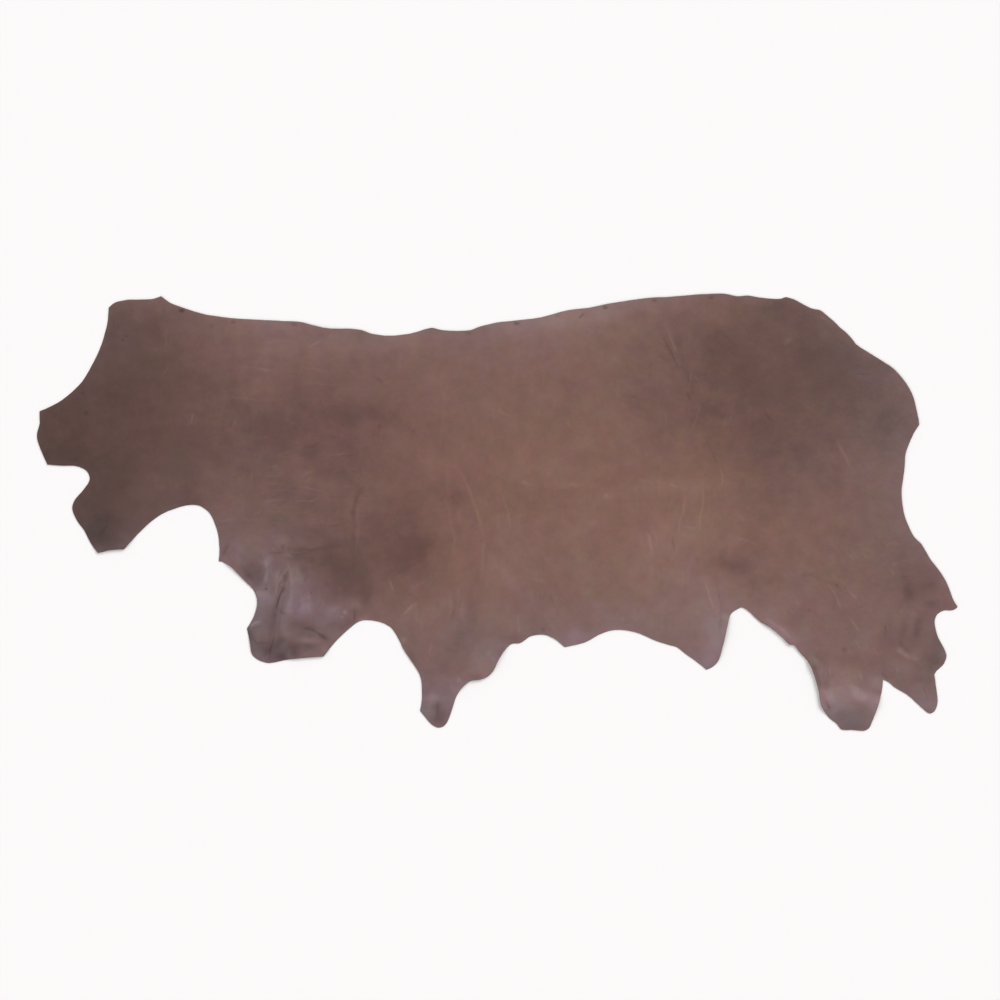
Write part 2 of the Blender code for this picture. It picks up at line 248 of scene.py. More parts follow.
LINES = [Line(*row) for row in [
    # The foreleg's crease: its dark line is painted shade in the crease, and the pale lines beside and
    # behind it painted highlights on its ridges.
    ("foreleg, crease, upper part", [(658, 387), (651, 368), (644, 348), (635, 324)], 10, -0.50, 0.5),
    ("foreleg, crease, middle", [(635, 324), (632, 266)], 22, -0.06, 0.1),
    ("foreleg, crease, lower part", [(634, 266), (628, 239), (622, 215), (618, 188)], 9, -0.30, 0.4),
    ("foreleg, bend above the crease", [(671, 436), (664, 412), (658, 387)], 8, -0.08),
    ("foreleg, stretched skin beside the crease",
     [(664, 432), (651, 412), (640, 390), (635, 350)], 10, 0.26, 0.4),
    ("foreleg, stretched skin behind the crease",
     [(666, 449), (676, 415), (679, 369), (671, 316)], 14, 0.18, 0.3),
    ("foreleg, stretched skin in front", [(606, 470), (612, 430), (609, 392)], 14, 0.12, 0.3),
    ("foreleg, stretched skin below the swell", [(707, 356), (705, 330), (700, 306)], 15, 0.12, 0.3),
    ("foreleg, crease over the foot", [(704, 277), (730, 270), (748, 260), (772, 244)], 11, -0.26, 0.6),
    ("foreleg, crease below the knee", [(648, 317), (663, 311)], 9, -0.24, 0.3),
    ("foreleg, crease over the toe", [(573, 248), (589, 235), (620, 234)], 8, -0.16, 0.4),
    ("foreleg, stretched heel", [(567, 278), (581, 288), (599, 293)], 9, 0.36, 0.4),
    ("foreleg, crease under the heel", [(570, 271), (583, 276), (605, 284)], 7, -0.14, 0.3),
    ("foreleg, stretched skin under the throat", [(655, 466), (668, 469), (682, 465)], 8, 0.18, 0.3),
    ("foreleg, crease under the throat", [(620, 474), (639, 473), (658, 476)], 8, -0.16, 0.3),
    ("foreleg, oily streak at the front", [(509, 494), (499, 478), (494, 460)], 16, -0.22, 0.3),
    ("armpit, crease", [(663, 485), (700, 482), (732, 481), (780, 489), (828, 493)], 20, -0.14, 0.5),
    ("armpit, fine crease", [(674, 469), (708, 470), (730, 474)], 8, -0.16, 0.3),
    # A dark line of painted shade and a pale line of painted highlight, on either side of the low ridge up
    # to the shoulder.
    ("armpit, upright crease", [(863, 641), (852, 625), (844, 598), (841, 558)], 18, -0.17, 0.3),
    ("armpit, end of the upright crease", [(841, 558), (844, 494), (844, 412)], 12, -0.06, 0.1),
    ("armpit, stretched skin beside the crease", [(852, 598), (855, 540), (849, 476)], 13, 0.07),
    ("armpit, crease at the edge", [(844, 324), (845, 289)], 9, -0.20, 0.5),
    ("shoulder, upper scar", [(703, 675), (722, 686), (740, 694)], 7, 0.15, 0.3),
    ("shoulder, scar below it", [(706, 662), (732, 673)], 6, 0.10),
    ("shoulder, lower scar", [(692, 611), (716, 613), (743, 610)], 8, 0.14, 0.3),
    ("shoulder, long scar", [(599, 607), (631, 614), (663, 617)], 8, 0.12, 0.3),
    ("shoulder, stretched wrinkle", [(695, 649), (732, 643), (772, 635)], 9, 0.10),
    ("shoulder, short scar", [(610, 657), (636, 658), (660, 657)], 7, 0.11),
    ("throat, small scar", [(570, 569), (586, 577), (602, 584)], 8, 0.11),
    ("shoulder, upper wrinkle", [(562, 971), (615, 957), (674, 952)], 10, 0.08),
    ("shoulder, wrinkle behind", [(700, 968), (743, 963), (783, 949)], 10, 0.08),
    ("shoulder, wrinkle at the withers", [(599, 1032), (647, 1037), (700, 1035)], 9, 0.08),
    ("neck, growth line in front", [(417, 848), (412, 832), (409, 811)], 8, 0.11, 0.3),
    ("neck, growth line behind", [(533, 827), (519, 808), (506, 795)], 8, 0.08, 0.3),
    ("throat, short growth line", [(573, 694), (568, 664)], 9, 0.12),
    ("neck, stretched streak", [(357, 987), (344, 963), (333, 936)], 9, 0.11),
    ("neck, paler band at the top", [(344, 1077), (341, 1008)], 14, 0.08),
    ("withers, scratch", [(722, 1021), (738, 1029), (754, 1039)], 8, 0.18),
    ("ribs, long growth line, upper part",
     [(1110, 706), (1134, 678), (1150, 640), (1166, 595), (1178, 558), (1193, 508)], 13, 0.12, 0.3),
    ("ribs, long growth line, lower part",
     [(1196, 516), (1188, 490), (1186, 454), (1181, 396)], 13, 0.12, 0.3),
    ("ribs, growth line above the armpit", [(1089, 726), (1092, 680), (1094, 622)], 14, 0.07),
    ("ribs, old crease along the belly",
     [(1285, 656), (1360, 652), (1450, 655), (1550, 644)], 26, 0.05),
    ("ribs, short streak on the crease", [(1287, 664), (1304, 656), (1322, 654)], 13, 0.08),
    ("ribs, next streak on the crease", [(1414, 658), (1438, 652)], 14, 0.07),
    ("flank, streak on the crease", [(1598, 668), (1626, 664)], 14, 0.10),
    ("flank, bright streak on the crease", [(1684, 656), (1706, 646)], 16, 0.11),
    ("flank, dark line over the veins", [(1775, 782), (1797, 736), (1813, 698)], 10, -0.08),
    ("belly, short streak", [(1317, 404), (1338, 400), (1352, 395)], 10, 0.11),
    ("belly, dark upright mark", [(1366, 364), (1373, 336)], 9, -0.12),
    ("brisket, faint scar", [(988, 369), (1014, 388), (1042, 407)], 17, 0.08),
    ("ribs, growth line behind", [(1240, 622), (1251, 588), (1262, 532)], 10, 0.11),
    ("ribs, growth line in front", [(1089, 619), (1099, 561), (1115, 494)], 13, 0.08),
    ("ribs, faint growth line", [(1073, 955), (1083, 875), (1073, 752)], 14, 0.05, 0.1),
    ("ribs, pale scratch", [(1225, 862), (1240, 846), (1262, 835)], 9, 0.13),
    ("ribs, short scratch", [(921, 925), (942, 931)], 9, 0.12),
    ("ribs, short dark crease", [(905, 939), (919, 925)], 8, -0.13),
    ("brisket, upper scar", [(937, 404), (950, 372)], 9, 0.18, 0.3),
    ("brisket, lower scar", [(972, 307), (993, 327), (1012, 343)], 9, 0.22, 0.3),
    ("fore belly, pale vein", [(1099, 380), (1102, 343), (1097, 295)], 9, 0.07),
    ("fore belly, vein behind it", [(1123, 388), (1118, 329)], 8, 0.09),
    ("fore belly, lower vein", [(1049, 242), (1046, 194)], 8, 0.12),
    ("belly edge, stretched crease", [(1280, 311), (1282, 252)], 10, 0.14),
    ("fore spur, crease", [(1068, 82), (1065, 39)], 11, -0.12),
    ("jaw, crease", [(187, 553), (180, 537), (171, 520)], 9, -0.26, 0.6),
    ("loin, crease", [(1661, 1056), (1674, 1029), (1690, 1003), (1711, 957)], 9, -0.16),
    ("loin, upper crease", [(1661, 1032), (1679, 1005)], 8, -0.06),
    ("loin, darker rim of the hip",
     [(1688, 1077), (1706, 1026), (1722, 973), (1738, 920), (1757, 880)], 36, -0.10),
    ("loin, lower rim of the hip", [(1752, 888), (1780, 854), (1823, 836), (1862, 829)], 36, -0.08),
    ("loin, stretched skin beside the crease", [(1682, 1056), (1690, 1032), (1701, 1008)], 7, 0.16, 0.3),
    ("loin, scar", [(1741, 960), (1738, 928), (1733, 901)], 8, 0.13),
    ("loin, scar beside it", [(1749, 941), (1762, 928)], 7, 0.13),
    ("loin, dark end of the scar", [(1730, 899), (1738, 878)], 10, -0.12),
    ("back, growth line", [(1765, 870), (1757, 838), (1743, 800)], 8, 0.11),
    ("back, growth line beside it", [(1666, 867), (1674, 827), (1669, 758)], 12, 0.06, 0.1),
    ("flank, vein in front", [(1723, 635), (1721, 588), (1711, 556), (1706, 516)], 9, 0.15, 0.3),
    ("flank, middle vein", [(1770, 667), (1773, 614), (1765, 566), (1762, 518)], 8, 0.14, 0.3),
    ("flank, vein that joins them", [(1719, 545), (1741, 540), (1762, 545)], 9, 0.12),
    ("flank, vein behind", [(1818, 699), (1825, 673), (1821, 646)], 8, 0.15, 0.3),
    ("flank, lower vein in front", [(1621, 532), (1632, 505), (1637, 465)], 10, 0.13),
    ("flank, fine vein beside it", [(1629, 530), (1632, 500), (1634, 481)], 7, 0.10),
    ("flank, fine vein behind it", [(1644, 534), (1648, 510), (1647, 486)], 8, 0.10),
    ("flank, dark crease by the veins", [(1690, 516), (1694, 490), (1697, 467)], 9, -0.13),
    ("flank, scratch along", [(1860, 513), (1884, 508), (1916, 494)], 8, 0.15),
    ("flank, scratch across it", [(1871, 494), (1890, 505), (1903, 516)], 7, 0.10),
    ("flank, short scratch", [(1866, 577), (1882, 558)], 9, 0.12),
    ("croup, stretched edge", [(2081, 1104), (2111, 1086)], 9, 0.16),
    ("rump, short crease", [(2180, 949), (2214, 948)], 6, -0.12),
    ("hip, dark scratch", [(1935, 848), (1956, 822)], 9, -0.15),
    ("hip, dark scratch at the loin", [(1818, 1056), (1850, 1035)], 8, -0.08),
    ("thigh, front scar", [(2127, 774), (2142, 744), (2156, 717), (2168, 698)], 14, 0.17, 0.3),
    ("thigh, orange scratch", [(2190, 806), (2201, 782)], 7, 0.10),
    ("shank, dark marks along the scratches",
     [(2023, 437), (2070, 407), (2124, 386), (2164, 354)], 10, -0.09),
    ("shank, front scratch", [(2103, 393), (2119, 369), (2132, 345), (2140, 320)], 9, 0.17, 0.3),
    ("shank, middle scratch", [(2153, 377), (2169, 364), (2185, 348)], 8, 0.17, 0.3),
    ("shank, scratch over it", [(2140, 399), (2153, 385)], 7, 0.12),
    ("shank, lower scratch", [(2164, 300), (2174, 284), (2188, 263)], 9, 0.20, 0.3),
    ("shank, lowest scratch", [(2177, 242), (2188, 220)], 9, 0.11),
    ("shank, scratch behind", [(2209, 327), (2230, 300)], 7, 0.09),
    ("shank, scratch below it", [(2225, 220), (2238, 202)], 8, 0.11),
    ("shank, short scratch in front", [(2158, 215), (2172, 202)], 8, 0.12),
    ("butt, scratch", [(2265, 431), (2286, 415)], 7, 0.15, 0.3),
    ("butt, scratch in front", [(2244, 438), (2262, 446)], 7, 0.11),
    ("butt, scratch behind", [(2297, 452), (2318, 454)], 7, 0.11),
    ("butt, wrinkle", [(2254, 494), (2276, 502), (2297, 494)], 8, 0.09),
    ("flank spur, ridge", [(1773, 401), (1786, 369), (1802, 316)], 10, 0.14, 0.5),
    ("flank spur, crease", [(1805, 401), (1821, 329), (1813, 239)], 11, -0.10, 0.3),
    ("tail side, stretched skin", [(2284, 216), (2302, 202), (2322, 191)], 12, 0.18, 0.5),
    ("tail side, crease over it", [(2290, 240), (2306, 220), (2322, 202)], 20, -0.13),
    ("tail side, sunken band", [(2346, 312), (2344, 270), (2334, 236)], 38, -0.12, 0.3),
    ("tail side, raised band", [(2328, 306), (2322, 270), (2318, 240)], 28, 0.08, 0.3),
    ("tail side, next sunken band", [(2306, 302), (2303, 262), (2300, 236)], 26, -0.05, 0.1),
    ("tail side, stretched skin over the band", [(2294, 311), (2307, 329)], 9, 0.12),
    ("tail side, upright crease", [(2257, 284), (2257, 242)], 8, -0.14),
    ("hock, crease over the notch", [(2246, 156), (2265, 138)], 10, -0.22, 0.4),
    ("hock tip, fine crease", [(2355, 122), (2363, 103), (2374, 79)], 7, -0.12, 0.3),
    ("flank bay, stretched hem", [(1927, 300), (1972, 276), (2004, 248)], 11, 0.10, 0.4),
    # Down the hind shank's raised side: a dark strip of painted shade on the side turned from the light, and
    # bright lines of painted highlight at its foot.
    ("hind shank, crease at the side",
     [(2058, 190), (2070, 160), (2080, 132), (2088, 108)], 16, -0.24, 0.4),
    ("hind shank, bright crease at the side", [(2095, 103), (2097, 88)], 8, 0.30, 0.4),
    ("hind shank, dark crease at the side", [(2097, 82), (2104, 70), (2111, 56)], 12, -0.32, 0.5),
    ("hind shank, bright fold at the edge", [(2085, 82), (2092, 70), (2098, 58)], 9, 0.26, 0.4),
    ("hind shank, bright fold behind the crease", [(2112, 84), (2119, 68), (2124, 52)], 10, 0.20, 0.3),
    ("hind shank, warm line", [(2108, 172), (2111, 140)], 7, 0.12),
    ("hind shank, warm line behind", [(2188, 156), (2196, 135)], 8, 0.14),
]]

# Bundles of fine growth wrinkles, each at a place, in one main direction.
Wrinkles = namedtuple("Wrinkles", "name centre radii direction count length width height tone")

WRINKLES = [Wrinkles(*row) for row in [
    ("shoulder wrinkles", (700, 690), (190, 120), 6, 26, 42, 9, 0.22, 0.08),
    ("upper shoulder wrinkles", (640, 930), (230, 90), -3, 24, 50, 10, 0.18, 0.06),
    ("throat wrinkles", (640, 545), (150, 50), 2, 18, 46, 10, 0.20, 0.07),
    ("neck wrinkles", (360, 830), (230, 200), 78, 24, 34, 9, 0.20, 0.06),
    ("fore belly veins", (1080, 400), (120, 170), 86, 22, 60, 9, 0.20, 0.06),
    ("rib wrinkles", (1150, 720), (300, 200), 88, 34, 46, 10, 0.16, 0.05),
    ("back wrinkles", (1620, 860), (330, 170), 88, 34, 44, 10, 0.16, 0.05),
    ("belly veins", (1420, 440), (300, 150), 88, 26, 48, 9, 0.18, 0.05),
    ("flank veins", (1740, 520), (130, 170), 86, 20, 50, 9, 0.20, 0.07),
    ("shank scratches", (2120, 380), (130, 130), -52, 16, 30, 8, 0.22, 0.08),
    ("butt scratches", (2270, 480), (90, 90), 4, 16, 24, 8, 0.20, 0.08),
    ("foreleg wrinkles", (700, 350), (110, 100), 75, 16, 24, 9, 0.30, 0.09),
    ("rump wrinkles", (2090, 800), (230, 200), 12, 22, 36, 10, 0.14, 0.05),
    ("knee wrinkles", (650, 430), (70, 60), 72, 16, 18, 8, 0.25, 0.11),
    ("hind shank wrinkles", (2160, 130), (75, 60), 84, 16, 16, 8, 0.20, 0.09),
]]

# Small round marks: dents, pores, bites of insects and worn spots.
Spot = namedtuple("Spot", "name centre width tone height", defaults=(USUAL_HEIGHT,))

# Where the clips gripped the edge of the back, each with two jaws, and how dark the
# dents came out.
CLIP_JAWS = 6
CLIP_WIDTH = 15
CLIP_DEPTH = 0.5
CLIPS = [
    ((385, 1118), -0.46), ((522, 1087), -0.24), ((684, 1081), -0.24),
    ((1147, 1058), -0.15), ((1276, 1084), -0.40), ((1384, 1104), -0.22),
    ((1512, 1126), -0.38), ((1643, 1144), -0.18), ((1794, 1152), -0.20),
]
SPOTS = [
    Spot("clip dent", (x + jaw * CLIP_JAWS / 2, y), CLIP_WIDTH, tone, CLIP_DEPTH)
    for (x, y), tone in CLIPS for jaw in (-1, 1)
]
SPOTS += [Spot(*row) for row in [
    ("neck, pore cluster in front", (216, 1074), 8, -0.18),
    ("neck, pore cluster", (237, 1050), 13, -0.26),
    ("neck, pore cluster below", (229, 1040), 11, -0.22),
    ("neck, oily mark at the top", (466, 1077), 17, -0.16),
    ("face, upper mark", (123, 899), 14, -0.18),
    ("face, lower mark", (131, 846), 18, -0.22),
    ("nose, dark mark", (24, 731), 20, -0.18),
    ("foreleg, hole of a thorn", (611, 378), 10, -0.60, 0.5),
    ("foreleg, hole of a tick", (730, 366), 8, -0.50, 0.4),
    ("foreleg, stretched skin below the hole", (722, 356), 10, 0.14),
    # The elbow's pale spots are painted highlights on the cockled skin.
    ("elbow, pale spot", (820, 316), 17, 0.34, 0.3),
    ("elbow, pale end of the spot", (812, 303), 13, 0.26),
    ("elbow, small pale spot", (791, 324), 20, 0.12),
    ("elbow, small pale spot above", (823, 337), 12, 0.12),
    ("foreleg, pale spot at the edge", (594, 364), 18, 0.24),
    ("throat, pale spot", (630, 484), 11, 0.24),
    ("foreleg, pale spot in the middle", (672, 319), 17, 0.26),
    # A painted highlight on the ridge at the top of the crease.
    ("foreleg, pale top of the crease", (651, 389), 8, 0.24),
    ("fore spur, pale spot", (1123, 135), 22, 0.24),
    ("fore spur, pale spot behind", (1214, 191), 14, 0.16),
    ("fore spur, pale spot above it", (1201, 207), 20, 0.12),
    ("belly edge, pore cluster", (1348, 268), 16, -0.20),
    ("ribs, pale spot", (1514, 625), 20, 0.26),
    ("belly, pale spot", (1558, 296), 20, 0.12),
    ("flank, dark mark by the spur", (1755, 458), 18, -0.12),
    ("ribs, dark mark by the growth line", (1075, 616), 24, -0.12),
    ("ribs, dark mark behind the growth line", (1238, 559), 30, -0.07),
    ("ribs, pale spot in front", (1360, 683), 15, 0.10),
    ("ribs, pale spot below", (1294, 662), 15, 0.09),
    ("back, dark pore", (1589, 888), 10, -0.16),
    ("ribs, dark pore", (1227, 774), 12, -0.13),
    ("ribs, dark pore in front", (1155, 774), 15, -0.11),
    ("ribs, dark mark", (1001, 798), 16, -0.13),
    ("ribs, dark mark in front", (911, 811), 17, -0.10),
    ("ribs, dark mark below", (1105, 622), 20, -0.11),
    ("loin, dark mark at the edge", (1461, 1061), 12, -0.10),
    ("rump, pale spot", (1994, 1034), 28, 0.15),
    ("rump, pale spot beside it", (2003, 1042), 24, 0.12),
    ("rump, dark mark", (2214, 715), 13, -0.11),
    ("shank, dark mark", (2129, 388), 16, -0.20),
    ("shank, dark mark behind", (2150, 380), 10, -0.13),
    ("shank, dark mark in the middle", (2193, 329), 11, -0.15),
    ("shank, dark mark in front", (2055, 319), 16, -0.16),
    ("shank, dark mark below", (2156, 271), 14, -0.14),
    ("shank, lowest dark mark", (2148, 215), 19, -0.20),
    ("thigh, dark mark in front", (2042, 415), 22, -0.12),
    ("thigh, pale mark", (2100, 279), 14, 0.10),
    ("tail side, dark mark", (2257, 276), 10, -0.13),
    ("hock, pale mark", (2289, 164), 14, 0.13),
]]
LINES.append(Line("clip that slid along the edge", [(1440, 1097), (1457, 1112)], 8, -0.45, CLIP_DEPTH))

# How far the wrinkles of a bundle differ: in direction, length, bend and strength. The
# last says how many are raised and how many sunken.
WRINKLE_TURN = 9.0
WRINKLE_LENGTHS = (0.5, 1.3)
WRINKLE_BEND = 0.05
WRINKLE_STRENGTHS = (0.5, 1.2)
WRINKLE_SIGNS = (1.0, 1.0, -0.8)


def strewn_wrinkles(bundle, random):
    """Short wavy lines, scattered in an oval, that share a direction but for a few degrees."""
    made = []
    for _ in range(bundle.count):
        away = random.uniform(0.0, 1.0) ** 0.5
        around = random.uniform(0.0, 2 * pi)
        start = np.array(bundle.centre) + away * np.array(bundle.radii) * (cos(around), sin(around))
        heading = radians(bundle.direction + random.normal(0.0, WRINKLE_TURN))
        length = bundle.length * random.uniform(*WRINKLE_LENGTHS)
        bend = random.normal(0.0, WRINKLE_BEND)
        steps = np.linspace(-0.5, 0.5, 5)
        along = steps * length
        aside = bend * length * (1 - 4 * steps ** 2)
        turn = np.array([[cos(heading), sin(heading)], [-sin(heading), cos(heading)]])
        path = (start + np.column_stack([along, aside]) @ turn).tolist()
        strength = random.uniform(*WRINKLE_STRENGTHS) * random.choice(WRINKLE_SIGNS)
        tone, height = bundle.tone * strength, bundle.height * abs(strength)
        made.append(Line(bundle.name, path, bundle.width, tone, height))
    return made


random = np.random.default_rng(17)
for bundle in WRINKLES:
    LINES += strewn_wrinkles(bundle, random)


def reach_of_line(places, line):
    """How far each place lies into a line, 1 at its rim, and where along it, from 0 to 1."""
    lengths = [hypot(b[0] - a[0], b[1] - a[1]) for a, b in zip(line.path, line.path[1:])]
    nearest = np.full(len(places), np.inf)
    where = np.zeros(len(places))
    passed = 0.0
    for start, end, length in zip(line.path, line.path[1:], lengths):
        distance, share = distance_to_line(places, start, end)
        closer = distance < nearest
        nearest[closer] = distance[closer]
        where[closer] = (passed + share[closer] * length) / sum(lengths)
        passed += length
    return nearest / (line.width / 2), where


def near_path(places, path, margin):
    """The numbers of the places close to a path, found by the path's own box."""
    low, high = np.min(path, axis=0) - margin, np.max(path, axis=0) + margin
    return np.flatnonzero(np.all((places > low) & (places < high), axis=1))


# How a mark strays and varies along its way, how faint its ends are, and how soon it
# reaches its full strength.
MARK_WANDER = 1.5
MARK_WANDER_SPACING = 16.0
MARK_UNEVEN = 0.35
MARK_END = 0.15
MARK_TAPER = 3.5


def marks_at(places):
    """The relief and the change of tone that the lines and spots leave at each place."""
    relief, tone = np.zeros(len(places)), np.zeros(len(places))
    for line in LINES:
        close = near_path(places, line.path, line.width)
        reach, where = reach_of_line(wander(places[close], MARK_WANDER_SPACING, MARK_WANDER, seed=41), line)
        reach *= 1 + MARK_UNEVEN * soft_noise(places[close], MARK_WANDER_SPACING, seed=43)
        strength = bell(reach) * np.minimum(1.0, MARK_END + MARK_TAPER * np.minimum(where, 1 - where))
        relief[close] += copysign(line.height, line.tone) * strength
        tone[close] += line.tone * strength
    for spot in SPOTS:
        close = near_path(places, [spot.centre], spot.width)
        strength = bell(np.hypot(*(places[close] - spot.centre).T) / (spot.width / 2))
        relief[close] += copysign(spot.height, spot.tone) * strength
        tone[close] += spot.tone * strength
    return relief, tone


# Stains and worn places, and painted light. The leather is darkest at the head and over
# the hip. Its cool violet-grey haze, heaviest towards the edges, is a painted sheen of
# reflected light with some wax bloom; the legs' violet-grey shine and many pale patches
# on their ridges are painted highlights, and a few dark patches by raised edges painted
# shade. Tone is lightness, sheen and bloom the cool haze. A patch may leave out its sheen
# and bloom and its turn in degrees.
Patch = namedtuple("Patch", "name centre radii tone bloom turn", defaults=(0.0, 0))

